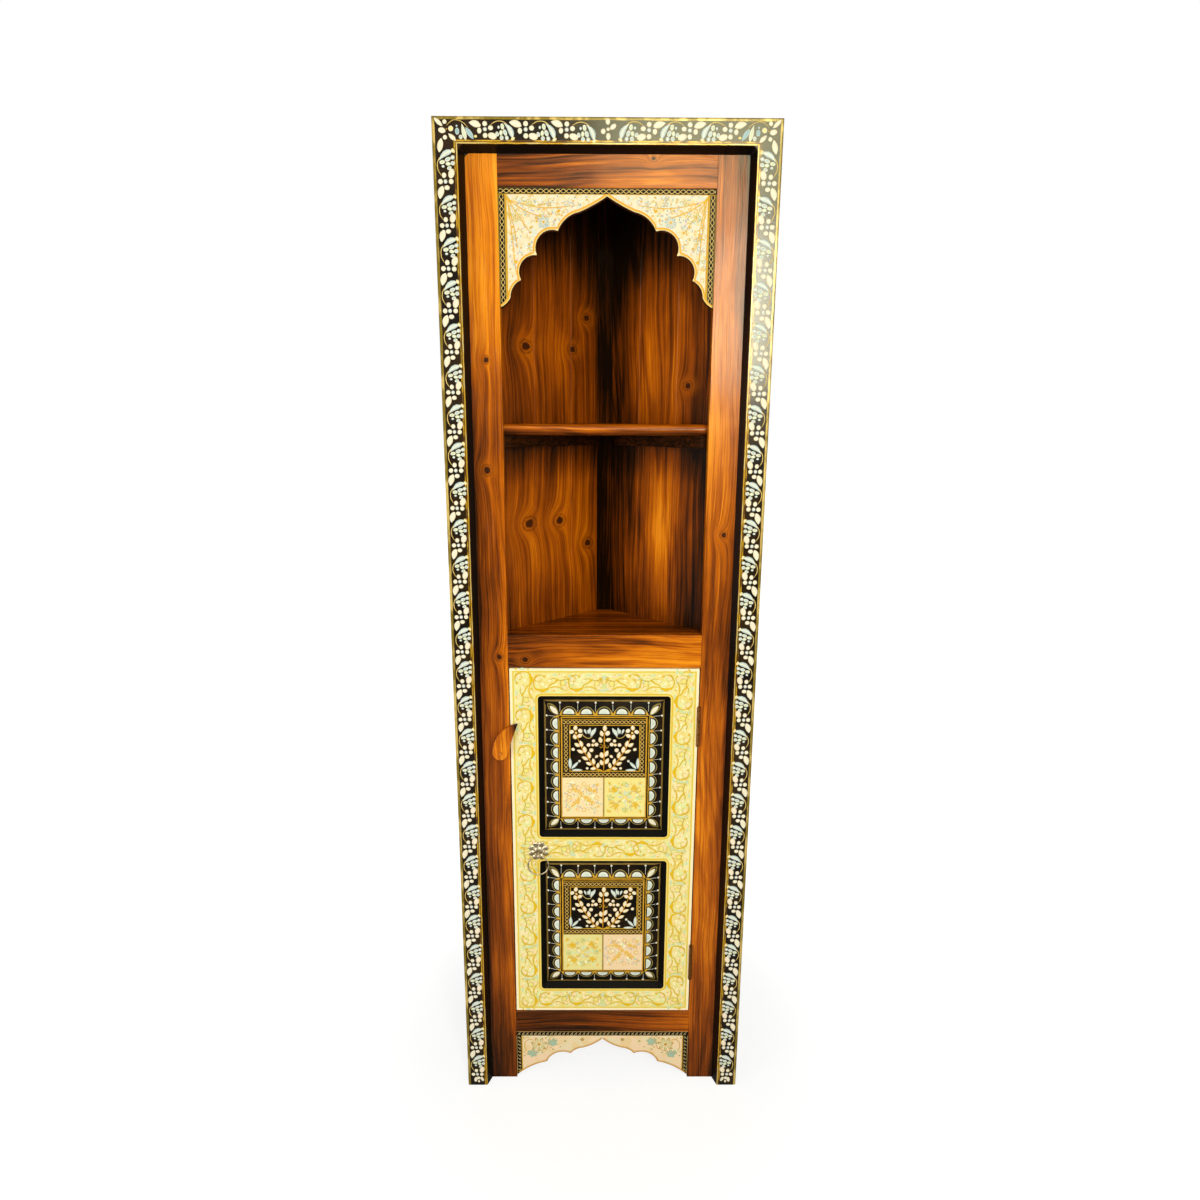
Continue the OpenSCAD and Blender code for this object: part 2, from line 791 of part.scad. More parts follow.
module torus(main_r, wire_r) {
    rotate_extrude($fn = 72) translate([main_r, 0]) circle(r = wire_r, $fn = 24);
}

// A flower of round petals with a domed middle, flat on the door.
module pull_rosette() {
    color(metal) place() difference() {
        translate([pull_x, 0, pull_z]) rotate([90, 0, 0]) {
            linear_extrude(petal_t) {
                circle(r = rosette_r - petal_r);
                for (i = [0 : petal_count - 1])
                    rotate(i * 360 / petal_count) translate([rosette_r - petal_r, 0]) circle(r = petal_r);
            }
            cylinder(h = dome_h, r1 = dome_r, r2 = dome_top_r);
        }
        translate([pull_x, -petal_t - dome_h - cut, eye_z]) rotate([-90, 0, 0])
            cylinder(h = petal_t + dome_h + 2 * cut, r = eye_wire_r + running);
    }
}

module pull_eye() {
    color(metal) place() {
        translate([pull_x, eye_y, eye_z]) rotate([0, 90, 0]) torus(eye_r, eye_wire_r);
        translate([pull_x, eye_y + eye_r, eye_z]) rotate([-90, 0, 0])
            cylinder(h = eye_stem_end - eye_y - eye_r, r = eye_wire_r);
    }
}

module pull_nut() {
    color(metal) place() translate([pull_x, door_t, eye_z]) rotate([-90, 0, 0]) difference() {
        union() {
            cylinder(h = washer_t, r = washer_r);
            translate([0, 0, washer_t]) cylinder(h = nut_t, r = nut_r, $fn = 6);
        }
        translate([0, 0, -cut]) cylinder(h = washer_t + nut_t + 2 * cut, r = eye_wire_r + running);
    }
}

module ring_pull() {
    color(metal) place() translate([pull_x, eye_y, ring_top_z - ring_r]) rotate([90, 0, 0])
        torus(ring_r, ring_wire_r);
}

// The button's outline with its tip along +y: a round end, a full left edge and a straight right one.
module button_outline() {
    tip = [0, button_l];
    from = 15;
    to = -135;
    round_step = 10;
    left = arc_points(button_r * [cos(to), sin(to)], tip, button_r * 1.08, 16);
    right = arc_points(button_r * [cos(from), sin(from)], tip, button_r * 0.07, 6);
    round_end = [for (a = [from : -round_step : to + 1]) button_r * [cos(a), sin(a)]];
    polygon(concat(left, [for (i = [len(right) - 2 : -1 : 1]) right[i]], round_end));
}

module turn_button() {
    crown_r = 340;
    crown_y = -seat - button_t + crown_r;
    color(wood) place() translate([button_x, 0, button_z]) rotate([0, button_lean, 0]) difference() {
        intersection() {
            translate([0, -seat, 0]) rotate([90, 0, 0]) linear_extrude(button_t) button_outline();
            translate([-2 * button_r, crown_y, 0]) rotate([0, 90, 0])
                cylinder(h = 4 * button_r, r = crown_r, $fn = 720);
        }
        translate([0, -seat - button_t - cut, 0]) rotate([-90, 0, 0])
            cylinder(h = button_t + 2 * cut, r = button_screw_r + running);
    }
}

module turn_button_screw() {
    color(metal) place() translate([button_x, button_front - 2 * running, button_z]) rotate([-90, 0, 0]) {
        cylinder(h = button_screw_end - button_front, r = button_screw_r);
        translate([0, 0, -button_screw_head_h])
            cylinder(h = button_screw_head_h, r1 = button_screw_crown_r, r2 = button_screw_head_r);
    }
}

border_left();
border_right();
border_top();
face_stile_left();
face_stile_right();
face_top_rail();
face_mid_rail();
face_bottom_rail();
arch_board();
apron();
wall_plank_left_back();
wall_plank_left_middle();
wall_plank_left_front();
wall_plank_right_back();
wall_plank_right_middle();
wall_plank_right_front();
corner_post();
top_board();
niche_shelf();
niche_floor();
cupboard_shelf();
cupboard_floor();
niche_shelf_cleats();
niche_floor_cleats();
cupboard_shelf_cleats();
cupboard_floor_cleats();
door_stop();
hinge_frame_leaves();
hinge_pins();
hinge_frame_screws();
door_stile_hinge_side();
door_stile_free_side();
door_top_rail();
door_lock_rail();
door_bottom_rail();
door_panel_upper();
door_panel_lower();
hinge_door_leaves();
hinge_door_screws();
pull_rosette();
pull_eye();
pull_nut();
ring_pull();
turn_button();
turn_button_screw();
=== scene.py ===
"""Dresses the corner cabinet: stained boards, painted grounds, raised flowers, silver pull, plain studio."""
import json
import math
import random

import bmesh
import bpy
from mathutils import Matrix, Vector


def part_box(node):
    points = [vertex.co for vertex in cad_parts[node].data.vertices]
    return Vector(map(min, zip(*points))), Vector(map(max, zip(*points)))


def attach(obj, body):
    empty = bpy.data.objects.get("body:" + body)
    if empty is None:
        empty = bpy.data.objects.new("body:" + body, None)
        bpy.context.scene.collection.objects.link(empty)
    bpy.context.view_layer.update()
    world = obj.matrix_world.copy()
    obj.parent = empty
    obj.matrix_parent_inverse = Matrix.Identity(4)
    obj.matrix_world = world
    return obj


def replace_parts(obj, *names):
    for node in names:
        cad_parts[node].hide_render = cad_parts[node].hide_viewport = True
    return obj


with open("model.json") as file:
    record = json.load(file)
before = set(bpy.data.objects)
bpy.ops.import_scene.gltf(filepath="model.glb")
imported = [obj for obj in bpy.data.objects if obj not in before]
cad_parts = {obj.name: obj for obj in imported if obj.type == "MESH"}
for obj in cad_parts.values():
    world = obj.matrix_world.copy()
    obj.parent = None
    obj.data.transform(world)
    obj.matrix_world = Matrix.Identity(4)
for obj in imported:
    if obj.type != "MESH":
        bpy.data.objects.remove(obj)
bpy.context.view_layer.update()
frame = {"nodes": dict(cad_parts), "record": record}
nodes = frame["nodes"]
node_slot = {part["node"]: part["material_slot"] for part in frame["record"]["subparts"]}
node_body = {name: body for body, names in frame["record"]["behaviour"]["bodies"].items() for name in names}

MM = 0.001
# Places on the cabinet in millimetres: x from the middle, y smaller towards the front, z over the floor.
WOOD_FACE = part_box("face_stile_left")[0].y / MM
BORDER_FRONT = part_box("border_left")[0].y / MM
HALF_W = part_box("border_right")[1].x / MM
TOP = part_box("border_top")[1].z / MM
BORDER_FACE, BORDER_BEVEL = 40, 8
PAINT_RISE, SUNK = 0.65, -0.03
BORDER_SKIN = BORDER_FRONT + PAINT_RISE + 0.05
OPEN_HALF = 180
ARCH_TOP, ARCH_FOOT = 1732, 1546
APRON_TOP, APRON_FOOT = 112, 4
FRET_SKIN = WOOD_FACE + 1
FIELD_CORNER_R = 9
FIELD_CORNER_X = HALF_W - BORDER_FACE - BORDER_BEVEL - FIELD_CORNER_R
FIELD_CORNER_Z = TOP - BORDER_FACE - BORDER_BEVEL - FIELD_CORNER_R
DOOR_HALF, DOOR_LOW, DOOR_HIGH = 178, 165, 908
PANEL_HALF, PANEL_FOOT, FIELD_HALF = 125, 115, 84
PANEL_CORNER_R = 6
PANELS = [(561.5, 853), (217, 508.5)]
FIELD_INSET = 41
FIELD_DEPTH, FOOT_DEPTH = 1.5, 10
PULL_X, PULL_Z = -128, 531.5


def paint(code):
    """A colour from its six-figure code, as the linear values that Blender wants."""
    parts = [int(code[i:i + 2], 16) / 255 for i in (0, 2, 4)]
    return tuple(p / 12.92 if p <= 0.04045 else ((p + 0.055) / 1.055) ** 2.4 for p in parts)


def paints(codes):
    return [paint(code) for code in codes.split()]


CREAM, WHITE, PALE_BLUE, BLUE, BLUSH, PALE_GREEN = paints("ebdfc3 e8e5d5 b6cbce 90b2be f3e0cf cbd8b4")
GOLD, ORANGE_GOLD, OLIVE, PALE_GOLD, BUTTER = paints("c99a20 d99e1e 86701e d8ba6c f4dc8c")
BROWN, BLACK, RIM = paints("5e3a12 0e0c09 5c4a1c")
WOOD = list(zip((0, 0.2, 0.4, 0.6, 0.8, 1), paints("150901 4d2200 843c00 b95e00 e6870c f2a024")))
WASHED = paints("2c1a0c 5a3a1e 80572f a37a4a")


def towards(tone, other, share):
    return tuple(a + (b - a) * share for a, b in zip(tone, other))


class Signal:
    """A socket of a node tree, so that sums on values are written as sums."""

    def __init__(self, graph, socket):
        self.graph, self.socket = graph, socket

    def math(self, operation, *others):
        return self.graph.node("ShaderNodeMath", dict(enumerate((self, *others))), operation=operation)

    def __add__(self, other):
        return self.math("ADD", other)

    def __sub__(self, other):
        return self.math("SUBTRACT", other)

    def __rsub__(self, other):
        return self.graph.node("ShaderNodeMath", {0: other, 1: self}, operation="SUBTRACT")

    def __mul__(self, other):
        return self.math("MULTIPLY", other)

    def __truediv__(self, other):
        return self.math("DIVIDE", other)

    def __rtruediv__(self, other):
        return self.graph.node("ShaderNodeMath", {0: other, 1: self}, operation="DIVIDE")

    def __abs__(self):
        return self.math("ABSOLUTE")

    __radd__, __rmul__ = __add__, __mul__

    def least(self, other):
        return self.math("MINIMUM", other)

    def most(self, other):
        return self.math("MAXIMUM", other)

    def hypot(self, other):
        return (self * self + other * other).math("SQRT")

    def ease(self, none, full):
        """0 at none, 1 at full, smooth between."""
        return self.graph.node("ShaderNodeMapRange", {"Value": self, "From Min": none, "From Max": full},
                               interpolation_type="SMOOTHSTEP")

    def between(self, low, high, soft):
        return self.ease(low - soft, low + soft) * self.ease(high + soft, high - soft)


class Graph:
    """A node tree that is written node by node."""

    def __init__(self, tree):
        self.tree = tree

    def node(self, kind, sockets=None, out=0, stops=(), **settings):
        made = self.tree.nodes.new(kind)
        if stops:
            marks = made.color_ramp.elements
            marks.remove(marks[1])
            marks[0].position, marks[0].color = stops[0][0], (*stops[0][1], 1)
            for place, tone in stops[1:]:
                marks.new(place).color = (*tone, 1)
        for key, value in settings.items():
            setattr(made, key, value)
        for key, value in (sockets or {}).items():
            self.plug(made.inputs[key], value)
        return Signal(self, made.outputs[out]) if made.outputs else None

    def plug(self, socket, value):
        if isinstance(value, Signal):
            self.tree.links.new(value.socket, socket)
        elif socket.type == "RGBA":
            socket.default_value = (*value[:3], 1)
        else:
            socket.default_value = value


class Finish(Graph):
    """A material, with the moves that its recipes share; x, y and z are the place on the cabinet in metres."""

    def __init__(self, name):
        self.material = bpy.data.materials.new(name)
        self.material.use_nodes = True
        super().__init__(self.material.node_tree)
        self.tree.nodes.clear()
        self.where = self.node("ShaderNodeTexCoord", out="Object")
        apart = self.node("ShaderNodeSeparateXYZ", {0: self.where})
        self.x, self.y, self.z = (Signal(self, socket) for socket in apart.socket.node.outputs)

    def vector(self, x, y, z):
        return self.node("ShaderNodeCombineXYZ", {0: x, 1: y, 2: z})

    def noise(self, vector, scale, detail=2, roughness=0.5):
        return self.node("ShaderNodeTexNoise",
                         {"Vector": vector, "Scale": scale, "Detail": detail, "Roughness": roughness})

    def specks(self, scale, detail=2, roughness=0.5):
        return self.noise(self.where, scale, detail, roughness)

    def drawn(self, x, y, z, detail=2):
        """Noise with a scale of its own along each axis."""
        return self.noise(self.vector(self.x * x, self.y * y, self.z * z), 1, detail)

    def wobble(self, scale, size):
        return (self.specks(scale) - 0.5) * size

    def ramp(self, share, stops):
        return self.node("ShaderNodeValToRGB", {0: share}, stops=list(stops))

    def blend(self, share, one, other):
        return self.node("ShaderNodeMix", {0: share, 6: one, 7: other}, out=2, data_type="RGBA")

    def band(self, colour, distance, low, high, tone, soft=0.0003):
        return self.blend(distance.between(low, high, soft), colour, tone)

    def mottled(self, tones, scale):
        """Hand-dabbed ground: soft clouds of the given tones, the first the commonest."""
        first, *others = paints(tones)
        for i, tone in enumerate(others):
            place = self.vector(self.x + 3.7 * i, self.y, self.z - 1.9 * i)
            cloud = self.noise(place, scale * (1 + 0.4 * i), 3, 0.6)
            first = self.blend(cloud.ease(0.5, 0.62) * 0.75, first, tone)
        return first

    def backed(self, colour, deep, soft, lying=False, shift=0.0):
        """Brown-washed grain from deep behind the wood face on, along the board, which stands or lies."""
        across, along = (7, 110) if lying else (110, 7)
        wash = self.noise(self.vector((self.x + shift) * across, self.y * 70, self.z * along), 1, 5, 0.6)
        behind = self.y.ease((WOOD_FACE + deep) * MM, (WOOD_FACE + deep + soft) * MM)
        return self.blend(behind, colour, self.blend(wash.ease(0.28, 0.74), WASHED[1], WASHED[3]))

    def surface(self, colour, roughness, height=None, depth=0.0002, **sockets):
        sockets = {name.replace("_", " "): value for name, value in sockets.items()}
        if height is not None:
            sockets["Normal"] = self.node("ShaderNodeBump", {"Height": height, "Distance": depth})
        sockets.update({"Base Color": colour, "Roughness": roughness})
        shader = self.node("ShaderNodeBsdfPrincipled", sockets)
        self.node("ShaderNodeOutputMaterial", {"Surface": shader})
        return self.material


# The ways of a board's grain: across it, into its depth, along it.
HALF_ROOT = 0.7071


def upright(x, y, z):
    return x, y, z


def level(x, y, z):
    return z, y, x


def flat(x, y, z):
    return y, z, x


def left_wall(x, y, z):
    return (x + y) * HALF_ROOT, (y - x) * HALF_ROOT, z


def right_wall(x, y, z):
    return (x - y) * HALF_ROOT, (x + y) * HALF_ROOT, z


def even(value):
    """The same trend value from foot to top."""
    return (0.0, value), (0.03, value)


def stained_with_painted_light(name, grain, trend, seed, knots=(), light_shade_and_tone=(), figure=1.0, gloss=0.2, shine=0.22, rings_seen=0.09,
            cornered=False, knot_squat=0.9):
    """Stained pine, whose growth lines run round the knots.

    The trend says how light the board is, from 0 to 1, at shares of the cabinet's height: the stain together
    with painted light and shade. Light_shade_and_tone lightens or darkens places, mostly as painted highlights
    and painted shade, a few as the wood's own tone: across, its width, along, its height, gain. Figure is the
    strength of the grain, rings_seen that of its growth rings, and knot_squat how many times wider than high a
    knot is. A cornered board turns black outside the rounded top corners of the wood field.
    """
    f = Finish(name)
    across, depth, along = grain(f.x, f.y, f.z)

    def layer(side, packed, deep, drawn, detail, roughness=0.5, shift=seed, rise=0.0):
        """Noise packed across the board and drawn out along it."""
        place = f.vector(side * packed, depth * deep + shift, along * drawn + rise)
        return f.noise(place, 1, detail, roughness)

    line = across + (layer(across, 3.4, 3, 1.5, 3, rise=seed) - 0.5) * 0.065
    hearts = rings = halos = 0
    for centre, height, size in knots:
        reach = (across - centre).hypot((along - height) * knot_squat)
        share = reach / size
        line = line + (reach * 1.4 + centre - line) * (1 / (1 + share * share * share))
        reach = reach + (f.noise(f.vector(across, depth, along), 160) - 0.5) * (size * 0.4)
        hearts = reach.ease(size * 0.6, size * 0.34).most(hearts)
        rings = reach.between(size * 0.68, size * 0.84, size * 0.08).most(rings)
        halos = reach.ease(size * 2.4, size * 0.5).most(halos)
    broad = layer(line, 24, 12, 1.0, 4, 0.6, seed * 7, seed)
    middling = layer(line, 85, 30, 2.4, 5, 0.72, rise=seed)
    veins = (layer(line, 11, 9, 0.65, 2, 0.4, rise=seed * 2) * 115).math("SINE").ease(0.1, 1.0)
    smudge = layer(across, 13, 7, 4.6, 4, 0.6, seed * 3, seed)
    fibre = layer(line, 300, 160, 6, 3, 0.7)
    streaks = layer(line, 150, 40, 1.9, 2, 0.6).ease(0.53, 0.66)
    threads = layer(line, 400, 60, 2.6, 1).ease(0.56, 0.68)
    hairs = layer(line, 360, 60, 3.1, 1, rise=9).ease(0.6, 0.72)
    glints = layer(line, 120, 40, 1.7, 3, 0.6, rise=5).ease(0.55, 0.7)
    pores = layer(line, 1000, 300, 14, 1, shift=0).ease(0.6, 0.74)
    drawing = ((broad - 0.5) * 0.54 - veins * rings_seen + (smudge - 0.5) * 0.7 + (middling - 0.5) * 0.62
               - streaks * 0.13 + glints * 0.06 - threads * 0.16 + hairs * 0.13)
    # Painted light and shade: the trend and light_shade_and_tone lighten and darken the colour where light or
    # shade falls.
    stain_and_light = f.ramp(f.z / (TOP * MM), [(place, (value,) * 3) for place, value in trend])
    tone = stain_and_light + drawing * figure + (fibre - 0.5) * 0.46 + 0.05
    for middle, width, height, length, gain in light_shade_and_tone:
        off = 1
        for way, centre, size in ((across, middle, width), (along, height, length)):
            if size:
                share = (way - centre) / size
                off = share * share + off
        tone = tone + gain / off
    colour = f.blend(pores * 0.35, f.ramp(tone, WOOD), WOOD[1][1])
    if knots:
        for mark, dark in ((halos * 0.35, WOOD[3][1]), (rings * 0.55, paint("321403")),
                           (hearts * 0.92, paint("240c02"))):
            colour = f.blend(mark, colour, dark)
    if cornered:
        aside, rise = (abs(f.x) - FIELD_CORNER_X * MM).most(0), (f.z - FIELD_CORNER_Z * MM).most(0)
        colour = f.blend((aside.hypot(rise) - FIELD_CORNER_R * MM).ease(-0.0003, 0.0003), colour, BLACK)
    return f.surface(colour, gloss + fibre * 0.14, fibre + pores * -0.6 + broad * 1.5, 0.00012,
                     Specular_IOR_Level=shine, Coat_Weight=0.06, Coat_Roughness=0.12)


def washed(name):
    """Planed boards out of sight, with a thin brown wash."""
    f = Finish(name)
    grain = f.drawn(3, 60, 60, 4)
    colour = f.ramp(grain * 0.6 + f.specks(6, 3) * 0.4, zip((0.3, 0.44, 0.56, 0.7), WASHED))
    return f.surface(colour, 0.55 + grain * 0.15, grain, Specular_IOR_Level=0.3)


def border_paint(name, lying=False):
    """Gloss black with an olive-gold outer edge and a double gold line next to the bevel."""
    f = Finish(name)
    wobble = f.wobble(55, 0.0014)
    from_edge = (HALF_W * MM - abs(f.x)).least(TOP * MM - f.z) + wobble
    from_bevel = (abs(f.x) - (HALF_W - BORDER_FACE) * MM).most(f.z - (TOP - BORDER_FACE) * MM) + wobble
    front = f.y.ease((BORDER_FRONT + 3.4) * MM, (BORDER_FRONT + 2.4) * MM)
    ground = f.blend(f.specks(18, 3).ease(0.35, 0.65), *paints("150d06 2e1f0b"))
    colour = f.blend(front, BLACK, ground)
    edge = from_edge.ease(0.0054, 0.0046)
    bright = from_bevel.between(0.0002, 0.0022, 0.0002)
    dull = from_bevel.between(0.0032, 0.0056, 0.0002)
    for mask, rub, one, other in ((edge, f.drawn(60, 60, 25, 3).ease(0.42, 0.66), OLIVE, PALE_GOLD),
                                  (dull, f.specks(40).ease(0.4, 0.6), GOLD, BROWN),
                                  (bright, f.specks(30).ease(0.4, 0.6), PALE_GOLD, GOLD)):
        colour = f.blend(mask * front, colour, f.blend(rub, one, other))
    brushed = f.drawn(90, 90, 14)
    gilt = edge.most(dull).most(bright) * front
    return f.surface(f.backed(colour, 19, 0.6, lying), 0.2 + gilt * 0.14 + brushed * 0.08, brushed, 0.0001,
                     Specular_IOR_Level=0.1, Coat_Weight=front * 0.6, Coat_Roughness=0.16,
                     Metallic=gilt * 0.25)


def fret_paint(name, top, side_bands, top_bands, tones, fineness):
    """Ivory ground of the arch board and the apron, with black bands for the braid along the top and sides."""
    f = Finish(name)
    wobble = f.wobble(70, 0.001)
    colour = f.mottled(tones, fineness)
    for distance, bands in ((OPEN_HALF * MM - abs(f.x) + wobble, side_bands),
                            (top * MM - f.z + wobble, top_bands)):
        for low, high, tone in bands:
            colour = f.band(colour, distance, low * MM, high * MM, tone)
    behind = f.y.ease((WOOD_FACE + 3) * MM, (WOOD_FACE + 5) * MM)
    bare = f.blend(f.drawn(8, 40, 110, 4).ease(0.35, 0.65), *paints("3a1a06 5c300e"))
    colour = f.blend(behind, colour, bare)
    brushed = f.drawn(120, 120, 40)
    return f.surface(colour, 0.34 + brushed * 0.12, brushed, 0.00012, Specular_IOR_Level=0.07)


def door_paint(name, lying=False):
    """Pale lime-cream ground of the door frame: pale edge, thin yellow lines and black panel bevels."""
    f = Finish(name)
    wobble = f.wobble(60, 0.0014)
    from_edge = (DOOR_HALF * MM - abs(f.x)).least(DOOR_HIGH * MM - f.z).least(f.z - DOOR_LOW * MM) + wobble
    away = []
    for low, high in PANELS:
        up = (abs(f.z - (low + high) / 2 * MM) - ((high - low) / 2 - PANEL_CORNER_R) * MM).most(0)
        out = (abs(f.x) - (PANEL_HALF - PANEL_CORNER_R) * MM).most(0)
        away.append(up.hypot(out) - PANEL_CORNER_R * MM)
    from_panel = away[0].least(away[1])
    colour = f.mottled("e7db94 f0e2b8 dbe3a6 e7cf76", 34)
    colour = f.band(colour, from_edge, 0.005, 0.008, paint("dcc34c"))
    colour = f.blend(from_edge.ease(0.0052, 0.0044), colour, paint("f7e6c2"))
    colour = f.blend((from_panel + wobble).ease(0.0046, 0.004), colour, paint("f0d678"))
    colour = f.band(colour, from_panel + wobble, 0.0026, 0.0056, paint("dcba3a"), 0.0005)
    colour = f.blend(from_panel.ease(0.0010, 0.0002), colour, BLACK)
    brushed = f.drawn(110, 110, 50, 3)
    return f.surface(f.backed(colour, 18.6, 0.8, lying), 0.3 + brushed * 0.14, brushed, 0.00014,
                     Specular_IOR_Level=0.05)


def panel_paint(name):
    """Gloss black ground of a door panel."""
    f = Finish(name)
    ground = f.blend(f.specks(24, 3).ease(0.4, 0.7), BLACK, paint("23170a"))
    brushed = f.drawn(90, 90, 60)
    return f.surface(f.backed(ground, 15.2, 0.6, shift=0.3), 0.22 + brushed * 0.1, brushed, 0.0001,
                     Specular_IOR_Level=0.1, Coat_Weight=0.06, Coat_Roughness=0.1)


def raised_paint(name):
    """Thick hand-laid paint in each stroke's own tone; its fourth value says how much of it is gilt."""
    f = Finish(name)
    tone = f.node("ShaderNodeAttribute", out="Color", attribute_name="tone")
    gilt = Signal(f, tone.socket.node.outputs["Alpha"])
    dabs = f.specks(260, 3)
    colour = f.blend(dabs.ease(0.35, 0.75) * 0.08, tone, paint("a58a36"))
    return f.surface(colour, 0.44 - gilt * 0.12 + dabs * 0.1, dabs, 0.00015, Specular_IOR_Level=0.25,
                     Metallic=gilt * 0.2)


def metal(name, tones, roughness, scale, dents=0.0002):
    f = Finish(name)
    tarnish = f.specks(scale, 4, 0.6)
    colour = f.blend(tarnish.ease(0.4, 0.7), *paints(tones))
    return f.surface(colour, roughness + tarnish * 0.18, f.specks(scale * 2.2), dents, Metallic=1.0)


def varnished(name, tones):
    """Metal browned over with the button's own varnish."""
    f = Finish(name)
    rubbed = f.specks(260, 3)
    return f.surface(f.blend(rubbed.ease(0.38, 0.62), *paints(tones)), 0.36 + rubbed * 0.12, rubbed, 0.00008,
                     Specular_IOR_Level=0.3)


def dress(material, *names):
    for name in names:
        held = nodes[name].data.materials
        if held:
            held[0] = material
        else:
            held.append(material)


def piece(name, mesh, board, material):
    """A finished mesh as an object at the origin, under the body of its board."""
    body, slot = node_body[board], node_slot[board]
    mesh.materials.clear()
    mesh.materials.append(material)
    made = bpy.data.objects.new(name, mesh)
    bpy.context.scene.collection.objects.link(made)
    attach(made, body)
    return made


def softened(name, width, material, steps=2, shape=None):
    """A copy of a board with its sharp edges eased, in the board's place; shape may move its corners first."""
    mesh = nodes[name].data.copy()
    work = bmesh.new()
    work.from_mesh(mesh)
    bmesh.ops.remove_doubles(work, verts=work.verts, dist=1e-6)
    bmesh.ops.dissolve_limit(work, angle_limit=math.radians(0.6), verts=work.verts, edges=work.edges)
    if shape:
        for vert in work.verts:
            shape(vert.co)
    work.to_mesh(mesh)
    work.free()
    if "custom_normal" in mesh.attributes:
        mesh.attributes.remove(mesh.attributes["custom_normal"])
    mesh.shade_smooth()
    board = bpy.data.objects.new("work", mesh)
    bpy.context.scene.collection.objects.link(board)
    edge = board.modifiers.new("eased edges", "BEVEL")
    edge.width, edge.segments = width * MM, steps
    edge.limit_method, edge.angle_limit = "ANGLE", math.radians(28)
    edge.harden_normals = True
    eased = bpy.data.meshes.new_from_object(board.evaluated_get(bpy.context.evaluated_depsgraph_get()))
    bpy.data.objects.remove(board)
    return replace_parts(piece(name + "_eased", eased, name, material), name)


def through(points, steps):
    """A smooth line through the points."""
    ends = [points[0], *points, points[-1]]
    line = []
    for a, b, c, d in zip(ends, ends[1:], ends[2:], ends[3:]):
        for i in range(steps):
            t = i / steps
            line.append(tuple(0.5 * (2 * b[k] + (c[k] - a[k]) * t
                                     + (2 * a[k] - 5 * b[k] + 4 * c[k] - d[k]) * t * t
                                     + (3 * b[k] - a[k] - 3 * c[k] + d[k]) * t ** 3) for k in (0, 1)))
    return line + [tuple(points[-1])]


